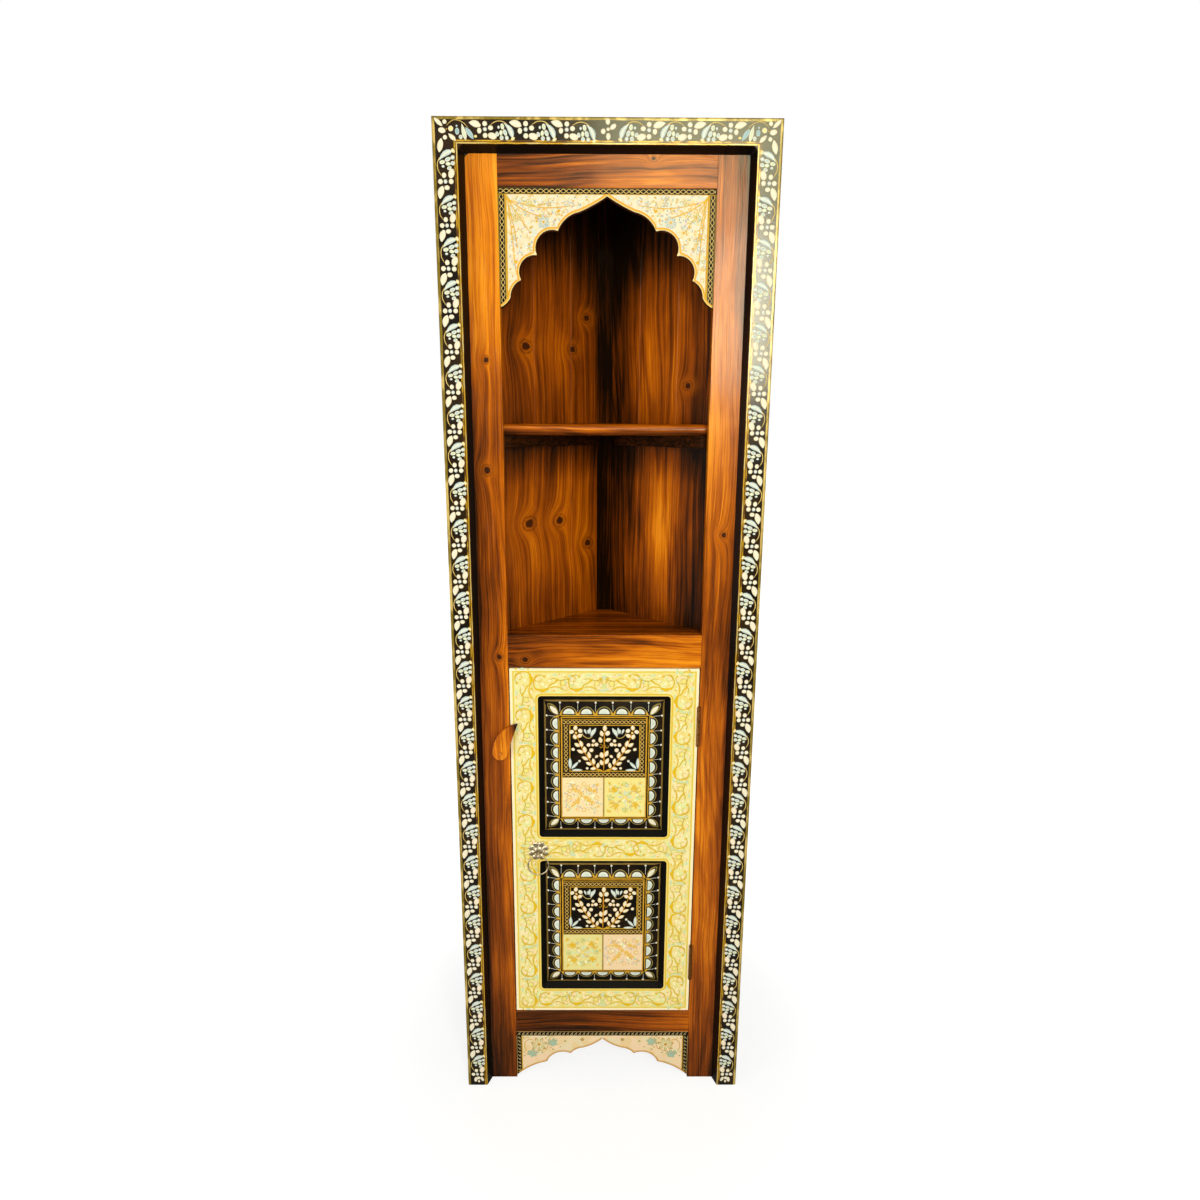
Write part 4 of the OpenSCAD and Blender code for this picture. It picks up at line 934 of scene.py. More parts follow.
def scroll_unit(mirrored):
    """One repeat of the door frame's vine: a loop that swells into a crescent, leaves and outlined ovals."""
    b = Brushwork()
    gold, vine, edge, peach, pale, green, blue, yellow = paints(
        "dfb60e ccaa22 bfa838 f6dcae f8eab8 ced896 c8d9b6 efe27c")
    for x, z, rx, rz, turn, tone in ((-27, 9.4, 5.6, 3.6, 20, peach), (-19.5, -1.5, 4.8, 3.6, -30, pale),
                                     (-29.6, 1.4, 3.4, 3.0, 0, pale), (18, -1, 4.2, 2.8, 10, yellow),
                                     (21, -11, 4.4, 3, 60, peach), (25.4, -4.6, 2.6, 5.2, 0, peach),
                                     (30.6, 10.4, 3.4, 4.4, 20, blue), (12, 12.6, 5, 2.8, 10, peach),
                                     (-8, 14.4, 4, 2.6, -20, pale), (-27, -15.2, 4.6, 2.2, 0, peach),
                                     (20, 13.6, 3.6, 2.2, -20, pale), (34, -6, 3.6, 4.4, 10, green),
                                     (5, -3.6, 3.8, 2.4, 30, pale)):
        b.dab(x, z, rx, rz, turn, tone, None, 0.3, 0, 8, 0, edge)
    for x, z, rx, rz, turn in ((36, -13.6, 6, 2.4, 10), (-41, 2, 2.4, 5, 0), (4, 15.4, 5, 1.8, 0),
                               (-12, -15.6, 5, 1.8, 0), (-20, 15.6, 3.4, 1.6, 0)):
        b.dab(x, z, rx, rz, turn, blue, None, 0.22, 0, 8, 0.04)
    for x, z, rx, rz, turn in ((-6.4, 4.4, 5.2, 3.0, 30), (3.4, -12.4, 4.8, 2.4, -14)):
        b.dab(x, z, rx, rz, turn, peach, pale, 0.35, 0, 8, 0, edge)
    b.petal((-35, -8.2), (-7, -8.2), 7.4, gold, None, 0.52, -0.2, 0.42, 0.1, 10, 0.05)
    for base, tip, width, full, bend, rise in (((2.6, 0.6), (11, 7.4), 3.6, 0.6, 0.1, 0.38),
                                               ((25, 7.6), (31.4, 8.8), 3, 0.5, 0, 0.35),
                                               ((37.6, 11.6), (41.4, 5.4), 3, 0.5, 0, 0.3)):
        b.petal(base, tip, width, gold, None, full, bend, rise, 0.1, 6, 0.05)
    b.dab(-15.2, 13, 3.2, 1.9, 55, gold, rise=0.35, count=8, rim=0.05)
    for width, tone, taper, points in (
            (2.4, gold, 0.8, [(-15, 13.5), (-22, 16.4), (-30, 13.4), (-35, 6), (-36, -1.4), (-33.4, -8),
                              (-30, -11)]),
            (2.4, gold, 0.7, [(-10, -8), (-6, -3.6), (1.6, 0.2), (8, 4.6)]),
            (1.6, vine, 0.35, [(-11.6, 0.4), (-6, 6.6), (2, 8.6), (7, 6.4)]),
            (1.8, vine, 0.35, [(8, 4.6), (16, 4.4), (24, 6.2), (30, 4)]),
            (2.4, gold, 0.5, [(-8, -9), (2, -7.4), (10, -9), (16, -14)]),
            (1.2, paint("c8bc3e"), 0.35, [(24.6, 12), (26.4, 6), (29, -1), (28.4, -10)]),
            (1.1, vine, 0.35, [(13, -1), (14, -8), (20, -15), (28, -14)]),
            (1.1, vine, 0.35, [(34, 14), (38, 6), (36, -2)])):
        b.line(points, width, tone, taper=taper)
    b.curl(18, -1, 5.6, 5.2, 200, -300, 12, 1.2, vine, taper=0.8)
    b.curl(-27, 9.2, 6.8, 6.2, 60, 300, 12, 1.1, vine, taper=0.8)
    for x, z, r in ((-42, 13, 1.9), (-40, -9, 1.7), (14, -4.6, 1.4), (1, -14.6, 1.6), (12, 16, 1.4)):
        b.dab(x, z, r * 1.3, r, 30, gold, rise=0.3, count=6, rim=0.05)
    return b.mesh("scroll", mirrored)


def door_scrolls():
    """The vine up both stiles and along the three rails; some repeats are mirrored or turned over."""
    units = scroll_unit(False), scroll_unit(True)
    (low_foot, low_head), (high_foot, high_head) = PANELS[1], PANELS[0]
    rails = (DOOR_HIGH + high_head) / 2 - 1, (high_foot + low_head) / 2, (DOOR_LOW + low_foot) / 2 + 1
    stile_middle = 149.6
    places = [], []
    for side in (-1, 1):
        for i, z in enumerate(spots(DOOR_LOW + 7, DOOR_HIGH - 7, 73)):
            places[i + side > 3].append(at(side * stile_middle, WOOD_FACE, z, 90 * side))
    for row, z in enumerate(rails):
        for i, x in enumerate(spots(-128, 128, 64)):
            places[i > 1].append(at(x, WOOD_FACE, z, 180 if (row, i) in ((1, 1), (1, 3)) else 0))
    for name, unit, laid, seed in zip(("first", "second"), units, places, (21, 27)):
        lay(f"door_scrolls_{name}", unit, laid, "door_lock_rail", seed, 4.0, 0.05)


def panel_skin(low, high):
    middle, half = (low + high) / 2, (high - low) / 2 - FIELD_INSET

    def skin(x, z):
        out = max(abs(x) - FIELD_HALF, abs(z - middle) - half, 0.0)
        return WOOD_FACE + FIELD_DEPTH + (FOOT_DEPTH - FIELD_DEPTH) * out / (PANEL_FOOT - FIELD_HALF)
    return skin


def half_ring(radius_x, radius_z, start, stop, step, lift):
    return [(radius_x * math.cos(math.radians(a)), lift + radius_z * math.sin(math.radians(a)))
            for a in range(start, stop, step)]


def scallop():
    """A white half disc on the gold line, in a thin olive outline that runs up from gold wedges."""
    b = Brushwork()
    foot = 1.4
    path = half_ring(10.8, 10.2, 0, 181, 15, foot)
    rows = []
    for share, rise, tone in ((1, SUNK, towards(WHITE, RIM, 0.5)), (0.84, 0.5, paint("e6e9de")),
                              (0.4, 0.65, paint("ccd8d0"))):
        lift = (1 - share) * 1.6
        rows.append([b.point(x * share, foot + (z - foot) * share + lift, rise, tone, 0) for x, z in path])
    b.bridge(rows[0], rows[1])
    b.bridge(rows[1], rows[2])
    b.faces.append(tuple(rows[-1]))
    arch = half_ring(14, 14.6, 180, -1, -12, 0.4)
    b.strip(arch, [1.7] * len(arch), *paints("8a7a3e a8975a"), 0.35, 0.2, 0.2)
    for side in (-1, 1):
        b.petal((side * 16.4, -0.6), (side * 13.2, 8.4), 4.4, GOLD, ORANGE_GOLD, 0.35, side * 0.12, 0.35,
                0.2, 6, 0.2)
    return b.mesh("scallop")


def stalked_dot():
    b = Brushwork()
    b.line([(0, 6), (0, 12), (0, 21)], 0.7, WHITE, 0.25, 0)
    b.dab(0, 23.4, 2.1, 2.3, tone=WHITE, rise=0.7)
    return b.mesh("dot")


def round_panel(low, high, motif, between, name, board, seed):
    """Lays a motif on the panel's four slopes, pointing outwards, at even steps or halfway between them."""
    skin = panel_skin(low, high)
    middle, half = (low + high) / 2, (high - low) / 2 - FIELD_INSET
    lean = math.degrees(math.atan2(FOOT_DEPTH - FIELD_DEPTH, PANEL_FOOT - FIELD_HALF))
    places, out = [], 3.4
    for turn, reach, run, pitch in ((0, half, FIELD_HALF, 33.4), (180, half, FIELD_HALF, 33.4),
                                    (-90, FIELD_HALF, half, 30.6), (90, FIELD_HALF, half, 30.6)):
        count, a = round(2 * run / pitch), math.radians(turn)
        step, places_here = 2 * run / count, count + between
        for i in range(places_here):
            off = step * (i - (places_here - 1) / 2)
            x = math.sin(a) * (reach + out) + math.cos(a) * off
            z = middle + math.cos(a) * (reach + out) - math.sin(a) * off
            places.append(at(x, skin(x, z), z, turn, lean))
    lay(name, motif, places, board, seed, 1.5, 0.03)


def panel_garden(low, high, name, board, swapped):
    """The painted field: garden over two tiles, in gold frames, with petals in the corners of the slopes."""
    b = Brushwork(panel_skin(low, high))
    zm, half = (low + high) / 2, (high - low) / 2 - FIELD_INSET
    top, bottom = zm + half, zm - half
    edge = PANEL_FOOT - 1.9
    b.frame(-edge, edge, low + 11.9, high - 11.9, 3.2, paint("7d6228"), 0.2)
    b.frame(-FIELD_HALF - 2, FIELD_HALF + 2, bottom - 2, top + 2, 1.9, GOLD, 0.3)
    b.frame(-81.4, 81.4, bottom + 1.2, top - 1.4, 1.9, ORANGE_GOLD, 0.3)
    for sx in (-1, 1):
        for sz in (-1, 1):
            base = (sx * (FIELD_HALF + 2), zm + sz * (half + 2))
            tip = (sx * (PANEL_FOOT - 7.5), zm + sz * (half + 24))
            b.petal(base, tip, 14, paint("8f7a30"), None, 0.55, 0, 0.25, 0.3, 10, 0.2)
            b.petal(base, (tip[0] - sx, tip[1] - sz), 11.6, BLACK, None, 0.55, 0, 0.35)
            inner, outer = (base[0] + sx * 2, base[1] + sz * 2), (tip[0] - sx * 4, tip[1] - sz * 4)
            b.petal(inner, outer, 10, WHITE, CREAM, 0.5, 0, 0.7)

    def s(px, py):
        """A place in the field, in millimetres, from a place in its enlarged view."""
        return ((px - VIEW_MIDDLE) * PIXEL_WIDE, top - (py - VIEW_TOP) * PIXEL_HIGH)

    x0, x1, z1, z0, tile_top = s(145, 0)[0], s(880, 0)[0], s(0, 145)[1], s(0, 616)[1], s(0, 684)[1]
    band = 80.2
    for left, right, foot, head in ((-band, band, z1, top - 5), (-band, band, tile_top + 0.5, z0),
                                    (-band, x0, z0, z1), (x1, band, z0, z1)):
        b.slab(left, right, foot, head, paint("221405"), 0.08)
    b.frame(-band, band, tile_top + 0.8, top - 5.4, 1.1, GOLD, 0.2)
    b.frame(x0, x1, z0, z1, 2.0, GOLD, 0.3)
    left, right = paints("e2d790 ecd0aa" if swapped else "f0daaa ecdd8c")
    b.slab(-80.4, -1.2, bottom + 2, tile_top, left)
    b.slab(1.2, 80.4, bottom + 2, tile_top, right)
    b.rule(0, bottom + 2, 0, tile_top, 1.5, GOLD)
    garden_plants(b, s)
    dice = random.Random(31 if swapped else 17)
    way = 1 if swapped else -1
    centre = (tile_top + bottom + 2.4) / 2
    florets(Tile(b, way * 41, centre, dice, "e6b41c"))
    star_tile(Tile(b, -way * 41, centre, dice, "e2b41c"))
    piece(name, b.mesh(name), board, FLOWER_PAINT)


class Tile:
    """A small field under the garden, drawn from its middle."""

    def __init__(self, b, x0, z0, dice, gold):
        self.b, self.x0, self.z0, self.dice, self.gold = b, x0, z0, dice, paint(gold)

    def to(self, x, z):
        return self.x0 + x, self.z0 + z

    def around(self, reach, turn):
        """A place at that reach from the middle, at a turn in radians."""
        return self.x0 + reach * math.cos(turn), self.z0 + reach * math.sin(turn)

    def spray(self, x, z, turn, size):
        """A small tuft of gold strokes."""
        x, z = self.to(x, z)
        for spread, share in ((-50, 0.6), (-16, 1), (14, 0.9), (48, 0.55), (180, 0.5)):
            a, long = math.radians(turn + spread), 9.4 * size * share
            tip, width = (x + long * math.cos(a), z + long * math.sin(a)), 2.1 * size * (0.6 + 0.4 * share)
            self.b.petal((x, z), tip, width, self.gold, None, 0.6, 0.12, 0.4, 0.05, 6, 0.05)

    def patches(self, tones):
        """Broad thin dabs that break up the ground."""
        for _ in range(30):
            x, z = self.to(self.dice.uniform(-31, 31), self.dice.uniform(-31, 31))
            rx, rz, turn = self.dice.uniform(3.5, 6.5), self.dice.uniform(2.4, 4.2), self.dice.uniform(0, 180)
            self.b.dab(x, z, rx, rz, turn, self.dice.choice(tones), rise=0.23, count=9, rim=0)

    def cloud(self, x, z, reach, tones):
        """Faint dabs close together, a flower half rubbed away."""
        for _ in range(7):
            a, far = self.dice.uniform(0, 6.283), reach * self.dice.uniform(0.15, 1)
            rx, rz = self.dice.uniform(1.5, 2.8), self.dice.uniform(0.9, 1.6)
            self.b.dab(x + far * math.cos(a), z + far * math.sin(a), rx, rz, math.degrees(a),
                       self.dice.choice(tones), rise=0.3, count=7, rim=0.1)

    def dots(self, places, r, tone, rim=0.15):
        for x, z in places:
            self.b.dab(*self.to(x, z), r, tone=tone, rise=0.4, count=6, rim=rim)


def florets(tile):
    """The pink-cream tile: gold tufts on its diagonals, rings between them, and lilac-grey clouds."""
    b, dice, pale = tile.b, tile.dice, paint("e2b83c")
    tile.patches(paints("f4ebc8 f3d6bc e0e0b0 f0cc92"))
    faint = paints("c0b8aa c6cc9c dcb49c aebfc0 b9acb4")
    for x, z in ((-22, 26), (24, 24), (-26, -24), (24, -26), (-14, 22), (30, 16), (-30, 8), (14, -18), (16, 8),
                 (30, -14), (-16, 6), (6, 16), (-4, -20), (-30, -10)):
        tile.cloud(*tile.to(x, z), 8, faint)
    for spray in ((-10, 15.6, 160, 1.5), (-10, 15, -60, 1.1), (18.4, 14, 150, 1.2), (19.4, 14, -20, 1.2),
                  (1, 2.4, 130, 1.2), (3, 0, -35, 1.5), (-7, -8, 80, 1.2), (-8, -8, 205, 1.4),
                  (16, -12, 100, 1.2), (16, -12, 0, 1.0), (-20, 23, 40, 0.9), (27, 23, 60, 0.9),
                  (28, -21, 20, 0.8), (-26, -26, 200, 0.8)):
        tile.spray(*spray)
    b.petal(tile.to(-12, -12), tile.to(-24.4, -22), 4.2, tile.gold, None, 0.5, 0, 0.4, 0.05, 8, 0.05)
    rings = ((3, 27.4), (-26, 0), (27, -1), (2.4, -26.4), (-25, 13), (10, 20))
    for ring in rings:
        b.curl(*tile.to(*ring), 4.0, 3.6, dice.uniform(0, 360), 340, 10, 1.8, pale, 0.4, 0.8)
    tile.dots(rings, 1.6, paint("f8e8bc"), 0.1)
    tile.dots(((-9, 25), (13, 27), (-28, -12), (28, 9), (12, -27), (-12, -25), (29, -29), (-29, 29), (8, -8),
               (-2, 10)), 1.5, pale)


def star_tile(tile):
    """The yellow-green tile: a pale star with a gold spray in each corner."""
    b, dice, gold = tile.b, tile.dice, tile.gold
    tile.patches(paints("f3efbc dce4a0 f2d898 d2dfb0"))
    faint = paints("b0c09c bccc80 a8bfb4 d0bc70 d4b498")
    for i in range(4):
        a = math.radians(90 * i)
        tile.cloud(tile.x0 + 28 * math.cos(a), tile.z0 + 26 * math.sin(a), 7, faint)
        b.petal(tile.around(3, a), tile.around(15, a), 5.4, *paints("bfc8ac e6e6c8"), 0.55, 0, 0.4, 0, 6, 0.1)
        b.line([tile.around(3.4, a + 0.785), tile.around(15, a + 0.7)], 1.6, gold, taper=0.7)
        tile.cloud(*tile.around(13, a + 0.785), 4, faint)
        tile.cloud(*tile.around(24, a + 0.5), 5, faint)
    b.dab(tile.x0, tile.z0, 3.2, tone=gold, heart=paint("fbe9a8"), rise=0.5)
    for sx, sz, ring in ((-1, 1, (-26, 15.6)), (1, 1, (27, 15.4)), (-1, -1, (-27, -17)), (1, -1, (24, -19))):
        turn = math.degrees(math.atan2(sz, sx))
        for x, z, aside, size in ((14, 12.4, 0, 1.7), (19, 18, 60, 1.2), (21, 12, -70, 1.1), (28, 28, 0, 0.8)):
            tile.spray(sx * x, sz * z, turn + aside, size)
        b.curl(*tile.to(*ring), 4.8, 4.0, turn, 320, 11, 1.9, gold, taper=0.8)
    for x, z in ((-3, 26), (4, -30), (-31, -30), (33, 4), (-32, 30)):
        tile.spray(x, z, dice.uniform(0, 360), 0.7)
    rings = ((0, 28), (-28, 0), (28, 0), (0, -27))
    for ring in rings:
        b.curl(*tile.to(*ring), 4.6, 4.2, dice.uniform(0, 360), 340, 10, 1.6, faint[1], 0.4, 0.8)
    tile.dots(rings, 1.8, faint[3])
    tile.dots(((-12, 29), (12, 28), (-30, 12), (30, 13), (-30, -10), (30, -11), (-13, -28), (14, -29), (9, 9),
               (-9, -10)), 1.4, gold)


# The garden is drawn in pixels of an enlarged view of the field: across and down to its middle and its top, and
# the millimetres of one pixel.
VIEW_MIDDLE, VIEW_TOP, PIXEL_WIDE, PIXEL_HIGH = 505, 58, 0.182, 0.2005
# Leaves of its right half and of its middle: across, down, half length, half width, slant.
SPRIG = [(682, 586, 14, 13, 0), (618, 588, 29, 17, -8), (568, 556, 30, 17, 100), (665, 537, 30, 18, 25),
         (615, 514, 33, 18, 78), (705, 482, 34, 18, 28), (662, 449, 35, 19, 78), (755, 412, 33, 18, 25),
         (709, 394, 34, 21, 80), (788, 345, 30, 19, 35), (746, 333, 34, 20, 75), (755, 201, 24, 21, 40),
         (805, 171, 27, 21, 100), (846, 212, 25, 20, -30), (760, 251, 27, 21, 150), (811, 262, 27, 21, 70),
         (830, 391, 18, 16, 30), (583, 464, 20, 14, -40)]
MIDDLE = [(480, 526, 29, 20, 110), (537, 511, 34, 20, 62), (482, 449, 31, 23, 100), (531, 434, 34, 21, 66),
          (513, 174, 33, 21, 88), (480, 228, 30, 20, 105), (541, 226, 27, 23, 60), (467, 294, 30, 20, 100),
          (549, 293, 29, 20, 20)]
BLUE_PETALS = [((640, 265), (592, 172), 6.2, 0.62), ((648, 262), (622, 190), 4.4, 0.62),
               ((655, 240), (652, 168), 4.4, 0.62), ((672, 236), (668, 186), 4.8, 0.62),
               ((690, 236), (712, 184), 4.8, 0.62), ((862, 590), (864, 478), 7.4, 0.5),
               ((850, 592), (775, 520), 6.2, 0.5), ((845, 604), (732, 604), 5.2, 0.5)]


def garden_plants(b, s):
    """The flowering stems over the tiles."""
    stem, warm = paints("d6941a eec784")

    def leaf(place, long, wide, turn, tone=CREAM, heart=WHITE):
        x, z = place
        if long - wide < 6:
            b.dab(x, z, long * 0.2, wide * 0.2, turn, tone, heart, 0.6, 0, 10, 0, warm)
            return
        dx, dz = long * 0.205 * math.cos(math.radians(turn)), long * 0.205 * math.sin(math.radians(turn))
        b.petal((x - dx, z - dz), (x + dx, z + dz), wide * 0.42, warm, None, 0.45, 0, 0.45, 0, 6, 0.2)
        inner, outer = (x - dx * 0.86, z - dz * 0.86), (x + dx * 0.9, z + dz * 0.9)
        b.petal(inner, outer, wide * 0.36, tone, heart, 0.5, 0, 0.62, 0, 6, 0)

    b.line([s(503, 612), s(504, 520), s(507, 430), s(507, 330), s(510, 200)], 2.2, stem)
    for way in (-1, 1):
        def m(px, py):
            return s(VIEW_MIDDLE + way * (px - VIEW_MIDDLE), py)
        b.line([m(522, 606), m(590, 584), m(642, 520), m(686, 455), m(732, 388), m(770, 305), m(798, 230)],
               1.8, stem)
        b.line([m(622, 230), m(640, 268), m(680, 276), m(722, 250), m(735, 222)], 1.3, PALE_GOLD)
        b.petal(m(506, 632), m(592, 598), 4.4, GOLD, None, 0.55, 0.12 * way, 0.4, 0.2)
        b.curl(*m(548, 632), 3.6, 1.8, 90, -260 * way, 8, 1.1, GOLD)
        b.curl(*m(540, 360), 4.4, 1.6, 120, 300 * way, 9, 1.2, GOLD)
        for px, py, long, wide, turn in SPRIG:
            leaf(m(px, py), long, wide, turn if way > 0 else 180 - turn)
        for px, py, r in ((615, 304, 17), (585, 341, 20), (668, 345, 19), (638, 399, 21)):
            leaf(m(px, py), r, r, 0, CREAM, BLUSH)
        for base, tip, width, full in BLUE_PETALS:
            b.petal(m(*base), m(*tip), width, PALE_BLUE, WHITE, full)
        b.dab(*m(800, 222), 2.8, tone=stem, heart=BUTTER, rise=0.7)
        b.dab(*m(623, 346), 3.2, tone=warm, heart=CREAM, rise=0.5)
        b.dab(*m(763, 511), 2.5, tone=WHITE)
    for px, py, long, wide, turn in MIDDLE:
        leaf(s(px, py), long, wide, turn)


def panel_art():
    dome, dot, strand = scallop(), stalked_dot(), braid_unit(15.6, 3.2, paint("dcb45a"), 1.25, 0.1)
    skin = WOOD_FACE + FIELD_DEPTH - 0.1
    for index, (low, high) in enumerate(PANELS):
        name = ("upper", "lower")[index]
        board = f"door_panel_{name}"
        round_panel(low, high, dome, False, f"panel_scallops_{name}", board, 40 + index)
        round_panel(low, high, dot, True, f"panel_dots_{name}", board, 50 + index)
        panel_garden(low, high, f"panel_garden_{name}", board, index == 1)
        top = (low + high) / 2 + (high - low) / 2 - FIELD_INSET
        places = [at(x, skin, top - drop) for drop in (11.2, 119) for x in spots(-79, 79, 15.6)]
        for side in (-1, 1):
            places += [at(side * 73, skin, z, 90) for z in spots(top - 113, top - 16, 15.6)]
        lay(f"panel_braid_{name}", strand, places, board, 60 + index, 0.0, 0.0)


def rosette(material):
    """The pull's flower: domed, creased petals round a boss."""
    b = Brushwork(lambda x, z: WOOD_FACE)
    for i in range(8):
        a = math.radians(22.5 + 45 * i)
        base, tip = ((PULL_X + reach * math.cos(a), PULL_Z + reach * math.sin(a)) for reach in (6, 21))
        b.petal(base, tip, 12.6, BLACK, None, 0.62, 0, 2.4, 0, 10)
    b.dab(PULL_X, PULL_Z, 9.4, 9.4, tone=BLACK, rise=3.2, count=24)
    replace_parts(piece("rosette_petals", b.mesh("rosette"), "pull_rosette", material), "pull_rosette")


def behind_paint(corner):
    """Sets a board's front face back by the thickness of the paint on it."""
    if corner.y < (BORDER_FRONT + 0.1) * MM:
        corner.y = (BORDER_SKIN - 0.02) * MM


post_black, top_black = border_paint("post black"), border_paint("top black", lying=True)
for name, black in (("border_left", post_black), ("border_right", post_black), ("border_top", top_black)):
    softened(name, 0.7, black, 2, behind_paint)

# The stiles' trends are the stain's tone together with painted light and shade along the height: darker at the
# foot, and the right stile's peak near 0.74 of the height is a painted highlight.
LEFT_STILE_TONE_AND_LIGHT = ((0.0, 0.12), (0.14, 0.4), (0.34, 0.4), (0.49, 0.47), (0.575, 0.36), (0.65, 0.43), (0.74, 0.48),
              (0.82, 0.6), (0.9, 0.77), (0.96, 0.84))
RIGHT_STILE_TONE_AND_LIGHT = ((0.0, 0.28), (0.15, 0.54), (0.34, 0.53), (0.5, 0.35), (0.575, 0.43), (0.65, 0.54), (0.74, 0.78),
               (0.82, 0.62), (0.9, 0.46), (0.96, 0.36))
# Light_shade_and_tone here: painted highlights along the stiles' edges at the opening and on the rails' right
# halves; painted shade beside the proud border, on the rails' left halves and along the shelf's lower front
# edge. The top rail gets a lighter line just above the arch board, the stiles get darker and lighter patches at
# about 1 m and 1.3 m, and the button turns darker towards its tip.
boards = {
    "face_stile_left": dict(grain=upright, trend=LEFT_STILE_TONE_AND_LIGHT, seed=1.3, figure=0.86, cornered=True,
                            knots=[(-0.209, 1.274, 0.012), (-0.206, 1.461, 0.009), (-0.196, 0.93, 0.010)],
                            light_shade_and_tone=[(-0.182, 0.004, 0, 0, 0.12), (-0.232, 0.006, 0, 0, -0.16),
                                   (-0.208, 0.014, 1.06, 0.1, -0.2), (-0.188, 0.012, 1.02, 0.12, 0.2),
                                   (-0.2, 0.05, 1.33, 0.05, -0.15)]),
    "face_stile_right": dict(grain=upright, trend=RIGHT_STILE_TONE_AND_LIGHT, seed=4.1, figure=0.86, cornered=True,
                             shine=0.26, knots=[(0.213, 1.16, 0.009)],
                             light_shade_and_tone=[(0.187, 0.006, 0, 0, 0.08), (0.231, 0.006, 0, 0, -0.14),
                                    (0.2, 0.05, 0.98, 0.05, -0.12)]),
    "face_top_rail": dict(grain=level, trend=even(0.39), seed=2.2, cornered=True,
                          knots=[(1.776, 0.075, 0.006)],
                          light_shade_and_tone=[(1.738, 0.005, 0, 0, 0.14), (0, 0, -0.15, 0.1, -0.36),
                                 (0, 0, 0.08, 0.16, 0.33)]),
    "face_mid_rail": dict(grain=level, trend=even(0.56), seed=6.7, knots=[(0.925, -0.148, 0.010)],
                          light_shade_and_tone=[(0, 0, 0.2, 0.16, 0.2), (0, 0, -0.18, 0.1, -0.28)]),
    "face_bottom_rail": dict(grain=level, trend=even(0.33), seed=8.3,
                             light_shade_and_tone=[(0, 0, 0.2, 0.12, 0.3), (0, 0, -0.2, 0.16, -0.24)]),
    "niche_shelf": dict(grain=level, trend=even(0.36), seed=5.2, light_shade_and_tone=[(1.334, 0.006, 0, 0, -0.3)]),
    "turn_button": dict(grain=upright, trend=((0.0, 0.72), (0.41, 0.72), (0.43, 0.6)), seed=7.9, gloss=0.3,
                        light_shade_and_tone=[(-0.163, 0.006, 0.797, 0.011, -0.75)]),
}
for name, recipe in boards.items():
    width, steps = (2.2, 3) if name == "turn_button" else (0.8, 2)
    softened(name, width, stained_with_painted_light(name.replace("_", " "), **recipe), steps)
dress(stained_with_painted_light("niche floor", flat, even(0.36), 3.6), "niche_floor")

# Painted shade in the niche: the walls turn almost black just under the shelf and towards the niche's top
# behind the arch board.
NICHE_TONE_AND_SHADE = ((0.53, 0.4), (0.6, 0.48), (0.68, 0.42), (0.725, 0.1), (0.735, 0.4), (0.82, 0.45), (0.88, 0.31),
               (0.93, 0.05))
# Painted shade on the walls darkens the back corner and the front edges beside the stiles; the lighter patches,
# mostly on the right wall, are painted light.
walls = {
    "left": dict(grain=left_wall, seed=2.1, rings_seen=0.05, figure=0.72,
                 knots=[(-0.1264, 1.489, 0.019), (-0.012, 1.490, 0.015), (0.0252, 1.549, 0.015),
                        (-0.124, 1.170, 0.022), (-0.0475, 1.169, 0.02), (0.029, 1.1168, 0.018)],
                 light_shade_and_tone=[(0.075, 0.03, 0, 0, -0.2), (-0.1, 0.06, 1.44, 0.1, 0.03),
                        (0.0, 0.08, 1.6, 0.07, -0.06), (-0.2, 0.02, 0, 0, -0.12),
                        (-0.158, 0.02, 1.44, 0.12, -0.12)]),
    "right": dict(grain=right_wall, seed=5.3, rings_seen=0.15, figure=0.88, knots=[(0.1338, 1.4216, 0.014)],
                  light_shade_and_tone=[(-0.07, 0.05, 0, 0, -0.45), (0.045, 0.03, 1.46, 0.14, 0.22),
                         (0.075, 0.03, 1.16, 0.1, 0.34), (0.2, 0.045, 0, 0, -0.3),
                         (0.2, 0.05, 1.12, 0.14, -0.24), (0.17, 0.05, 1.46, 0.16, 0.14)]),
}
for side, recipe in walls.items():
    dress(stained_with_painted_light(f"wall {side}", trend=NICHE_TONE_AND_SHADE, gloss=0.34, shine=0.12, knot_squat=1.25, **recipe),
          *(f"wall_plank_{side}_{part}" for part in ("back", "middle", "front")))
# The corner post is stained almost black as painted shade in the niche's back corner, darkest under the shelf
# and near the top.
POST_TONE_AND_SHADE = ((0.53, 0.0), (0.62, 0.04), (0.7, 0.0), (0.725, -0.1), (0.735, 0.08), (0.8, 0.0), (0.86, -0.3))
dress(stained_with_painted_light("corner post", upright, POST_TONE_AND_SHADE, 9.4, gloss=0.6, shine=0.0), "corner_post")
# The shelf cleats are stained almost black as painted shade under the shelf.
dress(stained_with_painted_light("shelf cleats", level, even(-0.02), 4.4, figure=0.3, gloss=0.5, shine=0.05),
      "niche_shelf_cleats")
dress(washed("washed board"), "top_board", "cupboard_shelf", "cupboard_floor", "cupboard_shelf_cleats",
      "cupboard_floor_cleats", "niche_floor_cleats", "door_stop")

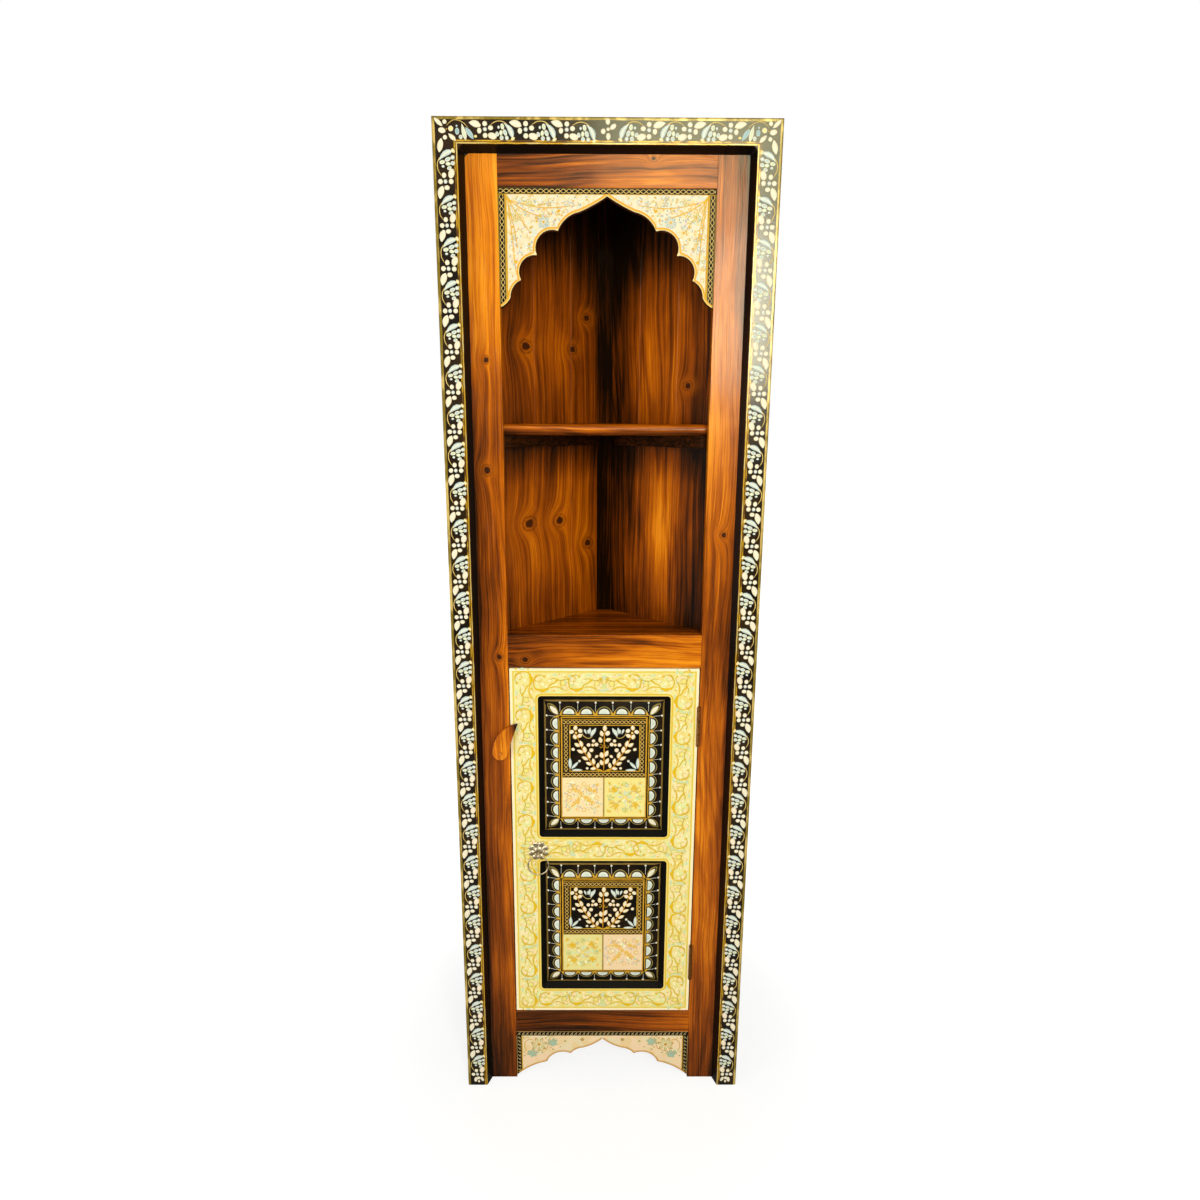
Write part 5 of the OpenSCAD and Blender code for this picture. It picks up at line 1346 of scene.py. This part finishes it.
arch_ivory = fret_paint("arch ivory", ARCH_TOP,
                        [(-1, 1.8, OLIVE), (1.8, 10.4, BLACK), (10.4, 11.4, OLIVE), (11.4, 14.6, GOLD)],
                        [(-1, 0.7, OLIVE), (0.7, 9.4, BLACK), (9.4, 10.4, GOLD)],
                        "e9dac0 ebd2be cbd6cc e4cc90", 62)
apron_edge = (-1, 1.2, paint("cfae6a"))
apron_ivory = fret_paint("apron ivory", APRON_TOP, [apron_edge, (1.2, 10.6, BLACK), (10.6, 12.6, GOLD)],
                         [apron_edge, (1.2, 10.4, BLACK)], "ead0ac eecdb0 ded4b0 e4c692", 30)
softened("arch_board", 0.9, arch_ivory)
softened("apron", 0.9, apron_ivory)
dress(door_paint("stile lime"), "door_stile_hinge_side", "door_stile_free_side")
dress(door_paint("rail lime", lying=True), "door_top_rail", "door_lock_rail", "door_bottom_rail")
dress(panel_paint("panel black"), "door_panel_upper", "door_panel_lower")

silver = metal("tarnished silver", "e6d8bc a39272", 0.26, 240, 0.0003)
dress(silver, "pull_eye", "ring_pull")
dress(metal("aged copper", "a27038 6c4218", 0.34, 160),
      "hinge_frame_leaves", "hinge_door_leaves", "hinge_pins")
dress(varnished("varnished screw", "d07818 b8640e"), "turn_button_screw")
dress(metal("plain steel", "a9a8a4 6f6d68", 0.32, 200), "hinge_frame_screws", "hinge_door_screws", "pull_nut")

border_flowers()
arch_garden()
apron_garden()
door_scrolls()
panel_art()
rosette(silver)


def studio():
    """A pale floor that keeps the cabinet's shadow, a white surround, and soft lamps."""
    floor_mesh = bpy.data.meshes.new("floor")
    floor_mesh.from_pydata([(-30, -30, 0), (30, -30, 0), (30, 30, 0), (-30, 30, 0)], [], [(0, 1, 2, 3)])
    floor = bpy.data.objects.new("floor", floor_mesh)
    bpy.context.scene.collection.objects.link(floor)
    f = Finish("floor white")
    seen = f.node("ShaderNodeLightPath", out="Is Camera Ray")
    glancing = Signal(f, seen.socket.node.outputs["Is Glossy Ray"])
    away = f.x.hypot(f.y).ease(0.3, 0.8)
    plain = f.node("ShaderNodeBsdfDiffuse", {"Color": (0.9, 0.9, 0.9)})
    bright = f.node("ShaderNodeEmission", {"Color": (1, 1, 1), "Strength": seen * 1.14})
    share = seen * (away * 0.27 + 0.73) + glancing * 0.6
    mixed = f.node("ShaderNodeMixShader", {0: share, 1: plain, 2: bright})
    f.node("ShaderNodeOutputMaterial", {"Surface": mixed})
    floor_mesh.materials.append(f.material)

    world = bpy.data.worlds.new("surround")
    bpy.context.scene.world = world
    world.use_nodes = True
    g = Graph(world.node_tree)
    g.tree.nodes.clear()
    path = g.node("ShaderNodeLightPath", out="Is Camera Ray")
    rays = path.socket.node.outputs
    direct = path.most(Signal(g, rays["Is Glossy Ray"]) * 0.05).most(Signal(g, rays["Is Transmission Ray"]))
    sky = g.node("ShaderNodeBackground", {"Color": (1, 1, 1), "Strength": direct * 0.79 + 0.21})
    g.node("ShaderNodeOutputWorld", {"Surface": sky})

    for name, place, aim, width, height, power, colour in (
            ("window", (0.62, -2.6, 1.84), (0.2, -0.1, 1.5), 0.36, 0.7, 27, (1, 0.95, 0.7)),
            ("upper window", (0.42, -2.6, 2.5), (0.1, -0.1, 1.7), 0.9, 0.45, 16, (1, 0.96, 0.56)),
            ("ceiling", (-0.2, -1.9, 3.3), (0, 0, 1.0), 2.2, 1.2, 12, (1, 1, 1)),
            ("left fill", (-2.4, -1.9, 0.8), (0, 0, 0.7), 1.2, 1.6, 36, (1, 1, 1)),
            ("right fill", (2.4, -1.9, 0.7), (0, 0, 0.6), 1.2, 1.6, 15, (1, 1, 1))):
        lamp = bpy.data.lights.new(name, "AREA")
        lamp.color = colour
        lamp.shape, lamp.size, lamp.size_y, lamp.energy = "RECTANGLE", width, height, power
        held = bpy.data.objects.new(name, lamp)
        held.location = place
        held.rotation_euler = (Vector(aim) - Vector(place)).to_track_quat("-Z", "Y").to_euler()
        bpy.context.scene.collection.objects.link(held)


def camera():
    """The eye of the picture: 24 mm lens, from chest height, looking a little down."""
    lens = bpy.data.cameras.new("eye")
    lens.lens, lens.sensor_width, lens.clip_start = 24.06, 36, 0.05
    eye = bpy.data.objects.new("eye", lens)
    pitch, roll, yaw = math.radians(13.07), math.radians(0.26), math.radians(0.34)
    ahead = Vector((math.sin(yaw) * math.cos(pitch), math.cos(yaw) * math.cos(pitch), -math.sin(pitch)))
    right = Vector((math.cos(yaw), -math.sin(yaw), 0))
    up = right.cross(ahead)
    across = right * math.cos(roll) + up * math.sin(roll)
    above = up * math.cos(roll) - right * math.sin(roll)
    turn = Matrix((across, above, -ahead)).transposed().to_4x4()
    eye.matrix_world = Matrix.Translation((-0.0175, (-1430.8 + WOOD_FACE) * MM, 1.3718)) @ turn
    bpy.context.scene.collection.objects.link(eye)
    bpy.context.scene.camera = eye


studio()
camera()
bpy.context.scene.view_settings.view_transform = "Standard"
